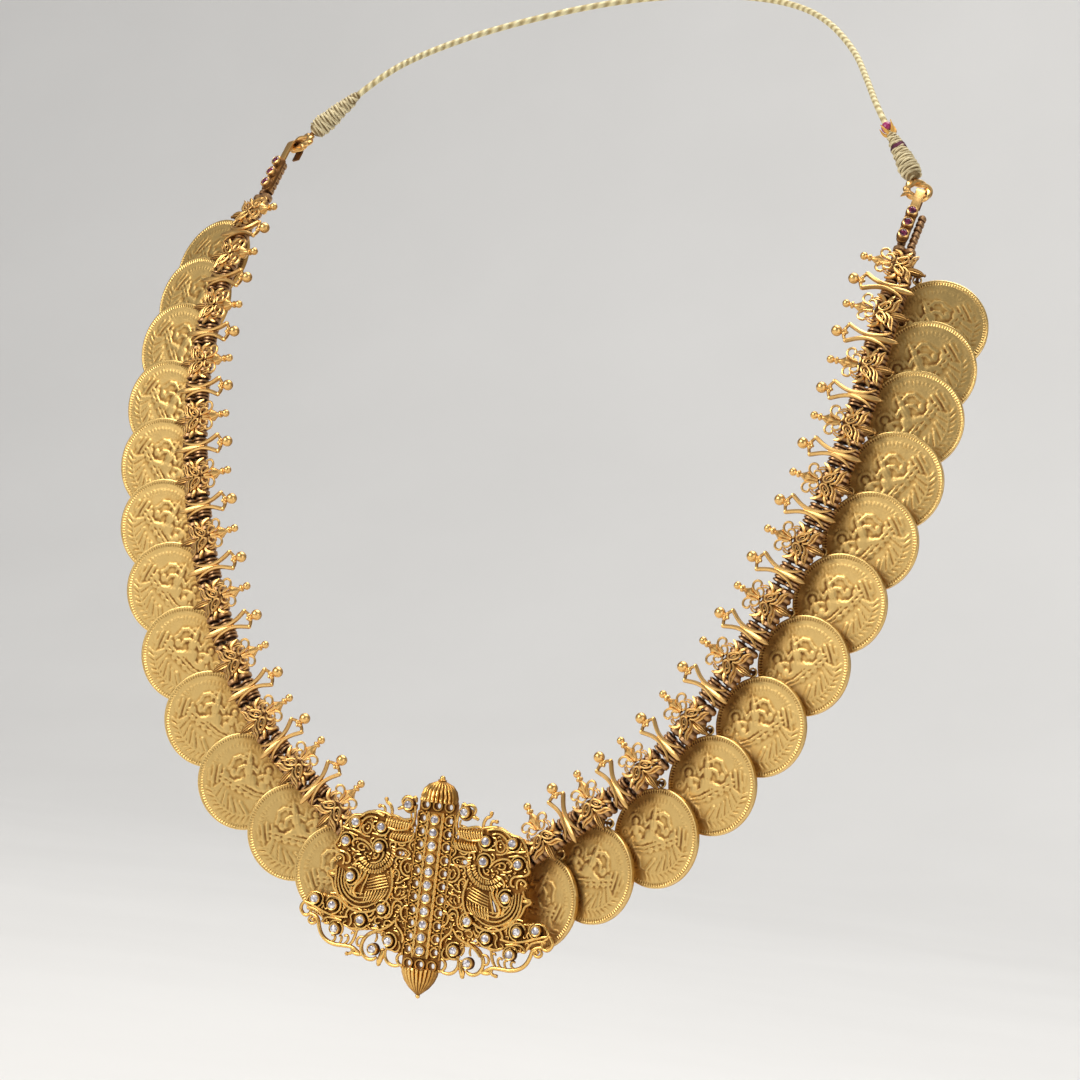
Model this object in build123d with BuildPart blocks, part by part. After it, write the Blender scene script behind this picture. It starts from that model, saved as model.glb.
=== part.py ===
from build123d import *
from math import cos, pi, radians, sin, sqrt, tan
import os

os.makedirs("parts", exist_ok=True)

# A coin necklace: a pierced pendant in front, twelve flower links, eleven pillar spacers
# and twelve coins on each side, a bar of three stones, a hook and ring, and a wound cord
# that closes the loop behind the neck. All lengths are in millimetres.
# Frame: origin on the front of the back cord at the nape, +Z up, the pendant faces -Y.
# The right half (x > 0) is modelled, and the left half is its mirror image.

# Route of the chain, from the link beside the pendant to the bar of stones. There is one
# chosen point for every second link: its place, how far the link's face turns outwards
# (turn) and how far it tips up (lift), in degrees.
# columns: x, y, z, turn, lift
chain_route = [
    (23.4, -103.9, -189.4, -5, 6),
    (43.6, -103.7, -172.6, -3, 6),
    (59.2, -100.9, -148.8, 0, 8.5),
    (69.6, -96.7, -123.4, 5, 11),
    (75.2, -91.2, -98.2, 12, 16),
    (76.2, -82.9, -73.9, 19, 22),
    (76.0, -68.7, -53.6, 25, 27),
]
# Route of the back cord, from inside the right winding to the middle of the nape.
cord_route = [(53.5, -45.5, -22.5), (43, -30, -13.8), (26.5, -11, -4.5), (9.5, 0.85, 0)]

links_per_side = 12
bar_station = 5.95
small_gap = 0.3
bore_gap = 0.2
overlap = 0.3

# Strings and the tubes that they run through
string_diameter = 0.8
string_bore = string_diameter + 2 * bore_gap
tube_diameter = 2.3
tube_back = 1.5
upper_row = 1.3
lower_row = 4.1
tube_gap = 0.35
pillar_tube = 4.6
bar_upper_row = 0.2

# Flower link, lying in its own XY plane with +Y up to the neck
finial_ball = 1.6
finial_height = 6.3
finial_depth = 0.7
vase_width = 2.3
collar_width = 1.4
stem_width = 0.8
wire = 0.62
wire_depth = 0.75
leaf_depth = 0.76
hub_diameter = 2.4
bud_width = 1.9
bud_top = 2.9
bud_tip = 7.3
nub_diameter = 0.8

# Pillar spacer
pillar_ball = 2.35
pillar_ball_height = 6.6
pillar_bead = 1.05
pillar_neck = 0.8
rod_width = 0.7
rod_depth = 1.3
rod_front = 0.5
pillar_waist = 0.55
pillar_flare = 1.85
pillar_top = 4.6
pillar_foot = 4.7
spear_width = 1.6
spear_tip = 7.2

# Coins
coin_diameter = 20.8
coin_thickness = 1.1
rim_width = 0.6
rim_height = 0.18
relief_height = 0.28
tab_width = 2.1
tab_thickness = 0.5
tab_reach = 1.0
hole_diameter = 1.3
peg_diameter = 0.7
peg_head = 1.3
peg_head_thickness = 0.5
hinge_along = 0.6
hinge_out = 5.9
hinge_back = 3.7
coin_shingle = [9, 9, 9, 9, 9, 9, 9, 9, 9, 9, 10, 12]
coin_shift = 0.28
coin_lean = [66, 53, 49, 48, 46, 46, 46, 47, 48, 49, 48, 50]

# Pendant, lying in its own XY plane with +Y up and its face at z = 0
pendant_y = -104.5
pendant_z = -203
plate_thickness = 1.0
stone_diameter = 1.6
stone_height = 0.75
stone_table = 0.55
stone_pitch = 2.77
centre_stones = 11
first_stone = 12.95
bezel_diameter = 2.5
bezel_height = 1.3
strip_width = 3.6
strip_height = 0.8
column_offset = 3.15
column_margin = 1.3
curl_radius = 0.95
curl_wire = 0.5
column_hole = 1.4
raised_wire = 0.6
raised_body = 1.0
dome_radius = 4.2
dome_height = 4.5
dome_seat = 16.6
point_seat = 18.4
point_height = 5.6
knob_radius = 0.6
lug_start = (15.0, -102.7, -197.0)
lug_end = (20.6, -102.15, -193.6)
lug_slope = (0.633, -0.136, -0.761)

# End fittings
bezel_pitch = 3.2
bar_width = 2.4
bar_thickness = 0.9
strap_width = 1.6
strap_thickness = 0.5
strap_run = 4.6
hook_radius = 1.6
hook_return = 2.2
ring_radius = 2.4
ring_wire = 1.0
shank_length = 3.5
winding_length = 13.3
winding_base = 4.3
winding_foot = (72.2, -58.3, -43)
winding_direction = (-0.62, 0.27, 0.73)
bead_diameter = 2.6
cord_diameter = 1.4
cord_in_winding = 5.0
cord_lead = 6.0


def between(before, start, end, after, share):
    """One value of a smooth curve from start to end."""
    return 0.5 * (
        2 * start
        + (end - before) * share
        + (2 * before - 5 * start + 4 * end - after) * share**2
        + (3 * start - before - 3 * end + after) * share**3
    )


def route_values(station):
    """Place, turn and lift at a station, counted in rows of the chain route."""
    first, second = chain_route[0], chain_route[1]
    last, previous = chain_route[-1], chain_route[-2]
    rows = [[2 * a - b for a, b in zip(first, second)], *chain_route]
    rows.append([2 * a - b for a, b in zip(last, previous)])
    row = min(int(station), len(chain_route) - 2)
    columns = zip(rows[row], rows[row + 1], rows[row + 2], rows[row + 3])
    return [between(*column, station - row) for column in columns]


def route_plane(station):
    """Plane of a piece on the chain: x runs along the chain, y up, z to the front."""
    x, y, z, turn, lift = route_values(station)
    reach = 0.02
    ahead = Vector(*route_values(station + reach)[:3])
    behind = Vector(*route_values(max(station - reach, 0))[:3])
    along = (ahead - behind).normalized()
    turn, lift = radians(turn), radians(lift)
    face = Vector(sin(turn) * cos(lift), -cos(turn) * cos(lift), sin(lift))
    face = face - along * face.dot(along)
    return Plane(origin=(x, y, z), x_dir=along, z_dir=face)


def on_plane(plane, x, y, z):
    """A point given in a plane's own directions."""
    return plane.origin + plane.x_dir * x + plane.y_dir * y + plane.z_dir * z


def turn_angle(before, corner, after):
    """Angle between the two runs that meet at a corner, in degrees."""
    return (corner - before).get_angle(after - corner)


def arc_radii(points):
    """The largest radius that each corner's two runs allow."""
    radii = []
    for before, corner, after in zip(points, points[1:], points[2:]):
        shorter = min((corner - before).length, (after - corner).length)
        radii.append(0.45 * shorter / tan(radians(turn_angle(before, corner, after) / 2)))
    return radii


def mirrored(piece, label):
    """The left-hand copy of a right-hand piece."""
    with BuildPart() as left:
        add(piece)
        mirror(about=Plane.YZ, mode=Mode.REPLACE)
    left.part.label = label
    return left.part


def write(piece):
    """Write one piece to its own file."""
    export_step(piece, f"parts/{piece.label}.step")


def write_pair(piece, name, ending=""):
    """Write a right-hand piece and its mirror image."""
    piece.label = f"{name}_right{ending}"
    write(piece)
    write(mirrored(piece, f"{name}_left{ending}"))


link_planes = [route_plane(i / 2) for i in range(links_per_side)]
pillar_planes = [route_plane(i / 2 + 0.25) for i in range(links_per_side - 1)]
bar_plane = route_plane(bar_station)
bar_length = 3 * bezel_pitch

# The strings' corners lie in the middle of each gap between two tubes. A row is how far
# the string lies below a piece's own x axis.
corner_reach = (pillar_tube + tube_gap) / 2


def string_corners(row):
    """Corners of one string, from the pendant's lug to the bar of stones."""
    drop = lower_row - upper_row if row == lower_row else 0
    side = Vector(*lug_slope).normalized() * drop
    points = [Vector(*lug_start) + side, Vector(*lug_end) + side]
    for plane in pillar_planes:
        points.append(on_plane(plane, -corner_reach, -row, -tube_back))
        points.append(on_plane(plane, corner_reach, -row, -tube_back))
    bar_row = -bar_rows[row]
    points.append(on_plane(bar_plane, -bar_length / 2 - tube_gap / 2, bar_row, -tube_back))
    points.append(on_plane(bar_plane, bar_length / 2 - small_gap, bar_row, -tube_back))
    return points


rows = [upper_row, lower_row]
bar_rows = {upper_row: bar_upper_row, lower_row: bar_upper_row + 0.95 * tube_diameter}
corners = {row: string_corners(row) for row in rows}


def tube_run(row, run):
    """Start, direction and length of the tube round one straight run of a string."""
    start, end = corners[row][run], corners[row][run + 1]
    direction = (end - start).normalized()
    return start + direction * (tube_gap / 2), direction, (end - start).length - tube_gap


def rod(start, direction, length, diameter, mode=Mode.ADD):
    """A round rod, or its bore, in the part being built."""
    with Locations(Plane(origin=start, z_dir=direction).location):
        Cylinder(diameter / 2, length, align=(Align.CENTER, Align.CENTER, Align.MIN), mode=mode)


def tubes(run):
    """The two tubes of one piece, with the strings' bores."""
    for row in rows:
        start, direction, length = tube_run(row, run)
        rod(start, direction, length, tube_diameter)
    for row in rows:
        start, direction, length = tube_run(row, run)
        rod(start - direction * 2, direction, length + 4, string_bore, Mode.SUBTRACT)


# Flower ornament, the same on every link
# Curls of wire: x, y, radius, start angle, arc (angles in degrees)
flower_curls = [
    (1.05, 1.15, 1.15, 195, 190),
    (1.85, 2.05, 0.95, -60, 235),
    (1.35, -1.75, 0.85, 100, 290),
    (1.55, -0.95, 1.55, 185, 120),
]
# Leaves: x, y, length, width, angle
flower_leaves = [
    (2.5, 0.35, 2.3, 1.0, 55),
    (2.55, -1.1, 2.2, 1.0, 12),
    (2.55, -2.7, 2.2, 1.0, -25),
    (2.0, -3.6, 3.3, 1.1, -38),
]
# Half outline of the vase: height and half width as shares of the finial's height
# and of the vase's width
vase_outline = [(0.04, 0.13), (0.5, 0.5), (0.64, 0.43), (0.7, 0.18), (0.76, 0.18)]


def leaf(x, y, length, width, angle):
    """A pointed leaf in the sketch being built: two arcs from tip to tip."""
    along = Vector(cos(radians(angle)), sin(radians(angle))) * (length / 2)
    across = Vector(-sin(radians(angle)), cos(radians(angle))) * (width / 2)
    centre = Vector(x, y)
    with BuildLine(mode=Mode.PRIVATE) as edge:
        ThreePointArc(centre - along, centre + across, centre + along)
        ThreePointArc(centre + along, centre - across, centre - along)
    make_face(edge.edges())


with BuildPart() as flower_ornament:
    axis_plane = Plane.XY.offset(-finial_depth)
    with BuildSketch(axis_plane):
        with BuildLine():
            profile = [(w * vase_width, h * finial_height) for h, w in vase_outline]
            Polyline((0, profile[0][1]), *profile, (0, profile[-1][1]), close=True)
        make_face()
        with Locations((collar_width / 4, 0.81 * finial_height)):
            Rectangle(collar_width / 2, 0.06 * finial_height)
        with Locations((stem_width / 4, 0.86 * finial_height)):
            Rectangle(stem_width / 2, 0.24 * finial_height)
    revolve(axis=Axis(axis_plane.origin, (0, 1, 0)))
    with Locations((0, finial_height, -finial_depth)):
        Sphere(finial_ball / 2)
    with BuildSketch(Plane.XY.offset(-wire_depth / 2)):
        for x, y, bend, start, arc in flower_curls:
            with BuildLine(mode=Mode.PRIVATE) as curl:
                CenterArc((x, y), bend, start, arc)
            SlotArc(curl.edges()[0], wire)
        mirror(about=Plane.YZ)
    extrude(amount=wire_depth)
    with BuildSketch(Plane.XY.offset(-finial_depth - leaf_depth / 2)):
        for x, y, length, width, angle in flower_leaves:
            leaf(x, y, length, width, angle)
            with BuildLine(mode=Mode.PRIVATE) as vein:
                Line((0, -0.6), (x, y))
            SlotArc(vein.edges()[0], 0.5 * width)
        mirror(about=Plane.YZ)
    extrude(amount=leaf_depth)
    with BuildSketch(Plane.XY.offset(-tube_back)):
        Circle(hub_diameter / 2)
    extrude(amount=tube_back + wire_depth / 2)
    with BuildSketch(axis_plane):
        with BuildLine():
            ThreePointArc((0, -bud_top), (bud_width / 2, -(bud_top + bud_tip) / 2), (0.12, -bud_tip))
            Line((0.12, -bud_tip), (0, -bud_tip))
            Line((0, -bud_tip), (0, -bud_top))
        make_face()
    revolve(axis=Axis(axis_plane.origin, (0, 1, 0)))
    with Locations((0, -bud_tip, -finial_depth)):
        Sphere(nub_diameter / 2)
    with Locations((0, -bud_top, -finial_depth)):
        Box(stem_width, 3 * stem_width, leaf_depth)
    peg_length = hinge_back + small_gap + tab_thickness / 2 + peg_head_thickness - finial_depth
    with BuildSketch(axis_plane):
        with Locations((hinge_along, -hinge_out)):
            Circle(peg_diameter / 2)
    extrude(amount=-peg_length)
    with BuildSketch(axis_plane.offset(-peg_length)):
        with Locations((hinge_along, -hinge_out)):
            Circle(peg_head / 2)
    extrude(amount=peg_head_thickness)

links = []
for number, plane in enumerate(link_planes):
    with BuildPart() as link:
        with Locations(plane.location):
            add(flower_ornament.part)
        tubes(2 * number + 1)
    links.append(link.part)

with BuildPart() as flower_links:
    add(links)
write_pair(flower_links.part, "flower_links")

# Pillar ornament, the same on every spacer
ball_radius = pillar_ball / 2
neck_radius = pillar_neck / 2
ball_foot = pillar_ball_height - sqrt(ball_radius**2 - neck_radius**2)
bead_height = (pillar_top + ball_foot) / 2

with BuildPart() as pillar_ornament:
    with BuildSketch(axis_plane):
        with BuildLine():
            ThreePointArc(
                (0, pillar_ball_height + ball_radius),
                (ball_radius, pillar_ball_height),
                (neck_radius, ball_foot),
            )
            Polyline(
                (neck_radius, ball_foot),
                (neck_radius, bead_height + 0.3 * pillar_bead),
                (pillar_bead / 2, bead_height + 0.15 * pillar_bead),
                (pillar_bead / 2, bead_height - 0.15 * pillar_bead),
                (neck_radius, bead_height - 0.3 * pillar_bead),
                (neck_radius, pillar_top),
                (0, pillar_top),
                (0, pillar_ball_height + ball_radius),
            )
        make_face()
    revolve(axis=Axis(axis_plane.origin, (0, 1, 0)))
    with BuildSketch(Plane.XY.offset(rod_front - rod_depth)):
        Rectangle(2 * pillar_waist, 0.7 * rod_width)
        with Locations((0, pillar_top)):
            Rectangle(2 * pillar_flare, 0.7 * rod_width)
        with Locations((0.9 * pillar_bead, bead_height - 0.1), (-0.9 * pillar_bead, bead_height - 0.1)):
            Circle(pillar_bead / 2)
        for side in (-1, 1):
            with BuildLine(mode=Mode.PRIVATE) as curved_rod:
                ThreePointArc(
                    (side * pillar_flare, pillar_top),
                    (side * pillar_waist, 0),
                    (side * pillar_flare, -pillar_foot),
                )
            SlotArc(curved_rod.edges()[0], rod_width)
        with BuildLine():
            ThreePointArc((0, 1), (spear_width / 4, -pillar_foot / 2), (spear_width / 2, -pillar_foot))
            Line((spear_width / 2, -pillar_foot), (0, -spear_tip))
            Line((0, -spear_tip), (-spear_width / 2, -pillar_foot))
            ThreePointArc((-spear_width / 2, -pillar_foot), (-spear_width / 4, -pillar_foot / 2), (0, 1))
        make_face()
    extrude(amount=rod_depth)

pillars = []
for number, plane in enumerate(pillar_planes):
    with BuildPart() as pillar:
        with Locations(plane.location):
            add(pillar_ornament.part)
        tubes(2 * number + 2)
    pillars.append(pillar.part)

with BuildPart() as pillar_spacers:
    add(pillars)
write_pair(pillar_spacers.part, "pillar_spacers")


# Strings
def string(row):
    """One string, straight in every tube and gently bent in every gap."""
    points = corners[row]
    with BuildPart() as thread:
        with BuildLine() as path:
            FilletPolyline(*points, radius=arc_radii(points))
        with BuildSketch(Plane(origin=points[0], z_dir=points[1] - points[0])):
            Circle(string_diameter / 2)
        sweep(path=path.wire())
    return thread.part


write_pair(string(upper_row), "upper_string")
write_pair(string(lower_row), "lower_string")

# Coins: a struck disc with a tab, lying in its own XY plane with the tab towards +Y
radius = coin_diameter / 2

with BuildPart() as coin:
    with BuildSketch(Plane.XY.offset(-coin_thickness / 2)):
        Circle(radius)
    extrude(amount=coin_thickness)
    for face_height, depth in ((coin_thickness / 2, -rim_height), (-coin_thickness / 2, rim_height)):
        with BuildSketch(Plane.XY.offset(face_height)):
            Circle(radius - rim_width)
        extrude(amount=depth, mode=Mode.SUBTRACT)
    field = coin_thickness / 2 - rim_height
    with BuildSketch(Plane.XY.offset(field - overlap)):
        with Locations((0, 0.28 * radius)):
            Circle(0.13 * radius)
        with Locations((0, -0.02 * radius)):
            Ellipse(0.19 * radius, 0.26 * radius)
        with Locations((0, -0.3 * radius)):
            Ellipse(0.38 * radius, 0.14 * radius)
        with Locations((0, -0.48 * radius)):
            SlotOverall(0.95 * radius, 0.13 * radius)
        with BuildLine(mode=Mode.PRIVATE) as halo:
            CenterArc((0, 0.24 * radius), 0.3 * radius, -50, 280)
        SlotArc(halo.edges()[0], 0.06 * radius)
        for side in (-1, 1):
            with BuildLine(mode=Mode.PRIVATE) as spray:
                CenterArc((0, -0.05 * radius), 0.66 * radius, 90 - side * 95, side * -55 + 10)
            SlotArc(spray.edges()[0], 0.07 * radius)
            with Locations((side * 0.5 * radius, -0.08 * radius)):
                Circle(0.09 * radius)
    extrude(amount=overlap + relief_height)
    with BuildSketch(Plane.XY.offset(-tab_thickness / 2)):
        with Locations((0, radius + tab_reach)):
            Circle(tab_width / 2)
        with Locations((0, radius)):
            Rectangle(tab_width, 2 * tab_reach)
        with Locations((0, radius + tab_reach)):
            Circle(hole_diameter / 2, mode=Mode.SUBTRACT)
    extrude(amount=tab_thickness)


def coin_plane(number):
    """Where a coin hangs: its tab's hole is round the link's peg. It leans towards the
    pendant, and its far side stands out in front of the next coin."""
    link = link_planes[number]
    ground = route_plane(max(number / 2 - coin_shift, 0))
    tilt = radians(coin_shingle[number])
    face = ground.z_dir * cos(tilt) - ground.x_dir * sin(tilt)
    lean = radians(coin_lean[number])
    up = link.x_dir * sin(lean) + link.y_dir * cos(lean)
    up = (up - face * up.dot(face)).normalized()
    hinge = on_plane(link, hinge_along, -hinge_out, -hinge_back)
    centre = hinge - up * (radius + tab_reach)
    return Plane(origin=centre, x_dir=up.cross(face), z_dir=face)


for number in range(links_per_side):
    with BuildPart() as hung_coin:
        with Locations(coin_plane(number).location):
            add(coin.part)
    write_pair(hung_coin.part, "coin", f"_{number + 1:02d}")

# Pendant
pendant_plane = Plane(origin=(0, pendant_y, pendant_z), x_dir=(1, 0, 0), z_dir=(0, -1, 0))
# Stones of the right half: x, y
side_stones = [
    (6.6, 15.3), (12.3, 9.9), (18.5, 10.2), (12.3, 5.6), (20.3, 6.0), (18.3, -1.3), (10.1, -7.2),
    (21.8, -7.9), (26.1, -7.1), (14.8, -10.2), (20.7, -12.8), (7.7, -13.7), (11.2, -15.9),
]
# Outline of the backing plate's right half
upper_plate = [
    (4, 8.2), (5.6, 12.4), (9.5, 11.9), (12, 12.8), (15, 12.9), (17.6, 11.8), (20, 11.3),
    (21.7, 8.6), (22.6, 5.6), (21, 0), (4, 0),
]
lower_plate = [
    (4, 1), (9, 1), (14, -8), (21, -6.6), (24.4, -6.1), (27.4, -6), (28.4, -8.4), (25, -9.8),
    (23.6, -12), (19, -11.6), (16.8, -12.4), (14, -11.9), (9.6, -12), (8.2, -15.2), (4, -16.4),
]
roundel = (15.2, -1.6)
roundel_radius = 7.6
# Holes right through the plate: x, y, long radius, short radius, angle
plate_holes = [
    (7.5, 4.9, 0.9, 0.45, 0), (11.8, -11.0, 0.8, 0.4, 10), (15.3, -3.4, 2.0, 0.6, 115),
    (8.6, 2.9, 0.5, 0.4, 90), (5.2, 10.2, 0.9, 0.4, 80),
]
# Pierced scrolls, as thick as the plate: x, y, radius, start angle, arc, width
border_scrolls = [
    (27.9, -9.5, 1.5, 150, -250, 0.7),
    (26.6, -11.4, 1.0, 20, -290, 0.65),
    (21.2, -12.5, 4.0, -5, -100, 0.8),
    (15.4, -13.6, 3.0, 250, -110, 0.7),
    (18.4, -14.9, 0.7, 200, -190, 0.5),
    (20.2, -15.1, 0.7, 180, -190, 0.5),
    (22.1, -14.9, 0.8, 200, -180, 0.5),
    (11.4, -15.2, 2.95, 110, -250, 0.8),
    (14.9, -14.2, 0.85, 60, 200, 0.55),
    (6.4, -16.3, 2.0, 20, -165, 0.7),
    (4.6, -17.0, 1.1, 130, -260, 0.6),
    (6.3, 14.0, 1.9, 215, -85, 1.2),
]
# Pierced straight or bent strokes given by three points, and a width
border_strokes = [
    ((16.0, -16.5), (18.6, -16.9), (21.6, -16.5), 0.8),
    ((25.0, -9.8), (25.9, -10.4), (27.0, -9.9), 0.8),
    ((25.2, -12.6), (25.7, -11.2), (27.0, -10.4), 0.7),
    ((11.7, 12.2), (11.0, 14.4), (12.4, 15.3), 0.8),
    ((12.7, 12.4), (12.3, 13.9), (13.5, 14.3), 0.6),
    ((9.9, -15.7), (9.6, -17.0), (9.9, -18.4), 1.0),
    ((14.2, -16.8), (15.6, -17.3), (17.0, -17.9), 0.8),
    ((8.4, -15.2), (8.5, -16.0), (8.3, -17.0), 0.7),
    ((8.9, -15.6), (10.0, -16.0), (11.2, -15.9), 0.7),
    ((5.5, 15.6), (5.0, 16.4), (5.0, 17.2), 0.6),
    ((6.6, 15.3), (8.0, 15.1), (9.0, 14.2), 0.7),
    ((19.3, -15.0), (19.2, -15.9), (19.4, -16.8), 0.5),
    ((21.2, -15.0), (21.3, -15.7), (21.1, -16.5), 0.5),
]
# Raised wires on the plate: x, y, radius, start angle, arc, width
raised_scrolls = [
    (15.2, -1.6, 6.9, 185, 170, 0.65),
    (15.2, -1.6, 5.9, 250, 115, 0.65),
    (15.8, -1.6, 4.6, 262, 110, 0.65),
    (13.6, 5.0, 4.7, 165, 140, 0.75),
    (13.6, 5.0, 3.6, 190, 110, 0.75),
    (17.4, 4.6, 1.6, 20, 200, 0.6),
    (15.6, 4.4, 1.2, 30, 170, 0.5),
    (20.2, 2.6, 1.5, 60, 220, 0.6),
    (21.7, 1.2, 1.1, 30, 190, 0.6),
    (6.9, 3.2, 1.8, -80, 250, 0.6),
    (6.2, -1.4, 1.5, 80, 230, 0.6),
    (7.2, -3.0, 1.3, 10, 210, 0.55),
    (5.6, -6.6, 1.7, -120, 250, 0.6),
    (7.4, -9.2, 2.2, 60, 210, 0.6),
    (12.2, -9.6, 1.4, 100, 220, 0.55),
    (17.8, -8.8, 2.6, 20, 130, 0.6),
    (17.6, -11.0, 1.3, 90, 200, 0.55),
    (21.8, -7.9, 1.9, 20, 220, 0.5),
    (15.2, 10.2, 2.0, 30, 170, 0.6),
    (15.6, 8.6, 1.2, 120, 220, 0.55),
    (14.9, 10.4, 3.2, 20, 120, 0.6),
]
# Raised solid forms: first end, second end, width
raised_bodies = [
    ((6.4, 11.4), (10.8, 10.9), 2.3),
    ((6.6, 8.6), (9.6, 8.2), 1.5),
    ((10.9, -1.6), (13.2, -5.4), 2.4),
    ((17.2, -3.2), (18.0, -4.4), 0.9),
]


def spots(points):
    """The same points on both halves of the pendant."""
    return [(x, y) for x, y in points] + [(-x, y) for x, y in points]


centre_column = [(0, first_stone - stone_pitch * i) for i in range(centre_stones)]
curl_column = [(column_offset, y) for x, y in centre_column]
loop_row = [(-2.8, 0), (0, 0), (2.8, 0)]
loop_rows = [(x, first_stone + 2.9) for x, y in loop_row]
loop_rows += [(x, first_stone - centre_stones * stone_pitch - 0.1) for x, y in loop_row]
strip_top = first_stone + 1.5
strip_bottom = first_stone - (centre_stones - 1) * stone_pitch - 1.5
stone_seat_depth = 0.5
stone_gap = 0.12


def strokes(scrolls, bent):
    """Slots along arcs, in the sketch being built."""
    for x, y, bend, start, arc, width in scrolls:
        with BuildLine(mode=Mode.PRIVATE) as scroll:
            CenterArc((x, y), bend, start, arc)
        SlotArc(scroll.edges()[0], width)
    for first, middle, last, width in bent:
        with BuildLine(mode=Mode.PRIVATE) as stroke:
            ThreePointArc(first, middle, last)
        SlotArc(stroke.edges()[0], width)


with BuildPart() as pendant_filigree:
    with BuildSketch(pendant_plane.offset(-plate_thickness)):
        for outline in (upper_plate, lower_plate):
            with BuildLine():
                Polyline(*outline, close=True)
            make_face()
        with Locations(roundel):
            Circle(roundel_radius)
        with Locations(*side_stones):
            Circle(bezel_diameter / 2)
        strokes(border_scrolls, border_strokes)
        for x, y, long_radius, short_radius, angle in plate_holes:
            with Locations((x, y)):
                Ellipse(long_radius, short_radius, rotation=angle, mode=Mode.SUBTRACT)
        mirror(about=Plane.YZ)
        with Locations((0, (strip_top + strip_bottom) / 2)):
            Rectangle(2 * (column_offset + column_margin), strip_top - strip_bottom)
        with Locations((0, (dome_seat - point_seat) / 2)):
            Rectangle(2 * (column_offset + 1), dome_seat + point_seat + 0.2)
        with Locations(*spots(curl_column), *loop_rows):
            Circle(column_hole / 2, mode=Mode.SUBTRACT)
    extrude(amount=plate_thickness)
    with BuildSketch(pendant_plane.offset(-overlap)):
        with Locations((0, (strip_top + strip_bottom) / 2)):
            Rectangle(strip_width, strip_top - strip_bottom)
    extrude(amount=overlap + strip_height)
    with BuildSketch(pendant_plane.offset(-overlap)):
        for x, y in curl_column:
            with BuildLine(mode=Mode.PRIVATE) as curl:
                CenterArc((x, y), curl_radius, 60, 240)
            SlotArc(curl.edges()[0], curl_wire)
        strokes(raised_scrolls, [])
        mirror(about=Plane.YZ)
    extrude(amount=overlap + raised_wire)
    with BuildSketch(pendant_plane.offset(-overlap)):
        for first, last, width in raised_bodies:
            with BuildLine(mode=Mode.PRIVATE) as body:
                Line(first, last)
            SlotArc(body.edges()[0], width)
        mirror(about=Plane.YZ)
    extrude(amount=overlap + raised_body)
    for seat, height, way in ((dome_seat, dome_height, 1), (-point_seat, point_height, -1)):
        with BuildSketch(pendant_plane.offset(-plate_thickness / 2)):
            with BuildLine():
                Line((0, seat), (dome_radius, seat))
                ThreePointArc(
                    (dome_radius, seat),
                    (0.78 * dome_radius, seat + way * 0.55 * height),
                    (0.12 * dome_radius, seat + way * height),
                )
                Line((0.12 * dome_radius, seat + way * height), (0, seat + way * height))
                Line((0, seat + way * height), (0, seat))
            make_face()
        axis_start = on_plane(pendant_plane, 0, 0, -plate_thickness / 2)
        revolve(axis=Axis(axis_start, (0, 0, 1)))
    with Locations(
        on_plane(pendant_plane, 0, dome_seat + dome_height + knob_radius / 2, -plate_thickness / 2),
        on_plane(pendant_plane, 0, -point_seat - point_height - knob_radius / 3, -plate_thickness / 2),
    ):
        Sphere(knob_radius)
    with BuildSketch(pendant_plane.offset(-plate_thickness - dome_radius)):
        with Locations((0, dome_seat + dome_height / 2), (0, -point_seat - point_height / 2)):
            Rectangle(3 * dome_radius, 2 * dome_radius)
    extrude(amount=dome_radius, mode=Mode.SUBTRACT)
    with BuildSketch(pendant_plane.offset(-overlap)):
        with Locations(*spots(side_stones), *centre_column):
            Circle(bezel_diameter / 2)
    extrude(amount=overlap + bezel_height)
    with BuildSketch(pendant_plane.offset(bezel_height)):
        with Locations(*spots(side_stones), *centre_column):
            Circle(stone_diameter / 2 + stone_gap)
    extrude(amount=-stone_seat_depth, mode=Mode.SUBTRACT)
    for side in (-1, 1):
        for row in rows:
            start, direction, length = tube_run(row, 0)
            start = Vector(side * start.X, start.Y, start.Z)
            direction = Vector(side * direction.X, direction.Y, direction.Z)
            rod(start - direction, direction, length + 1, tube_diameter)
            rod(start - direction * 0.5, direction, length + 1, string_bore, Mode.SUBTRACT)

pendant_filigree.part.label = "pendant_filigree"
write(pendant_filigree.part)


# A flat-backed eight-sided stone with a table
with BuildPart() as stone:
    with BuildSketch(Plane.XY):
        RegularPolygon(stone_diameter / 2, 8)
    extrude(amount=0.4 * stone_height)
    with BuildSketch(Plane.XY.offset(0.4 * stone_height)):
        RegularPolygon(stone_diameter / 2, 8)
    with BuildSketch(Plane.XY.offset(stone_height)):
        RegularPolygon(stone_table * stone_diameter / 2, 8)
    loft()

stone_base = bezel_height - stone_seat_depth + stone_gap


def stone_field(points, label):
    """The cut stones of one part of the pendant."""
    with BuildPart() as stones:
        for x, y in points:
            centre = on_plane(pendant_plane, x, y, stone_base)
            with Locations(Plane(origin=centre, x_dir=(1, 0, 0), z_dir=(0, -1, 0)).location):
                add(stone.part)
    stones.part.label = label
    write(stones.part)


stone_field(centre_column, "pendant_center_stones")
stone_field(side_stones, "pendant_right_stones")
stone_field([(-x, y) for x, y in side_stones], "pendant_left_stones")

# Bar of three red stones at the end of the chain, with its strap and hook
hook_start = bar_length / 2 + strap_run
strap_centre = -bar_thickness / 2 + strap_thickness / 2 - 0.2
bezel_places = [(-bezel_pitch, 0), (0, 0), (bezel_pitch, 0)]

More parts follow.
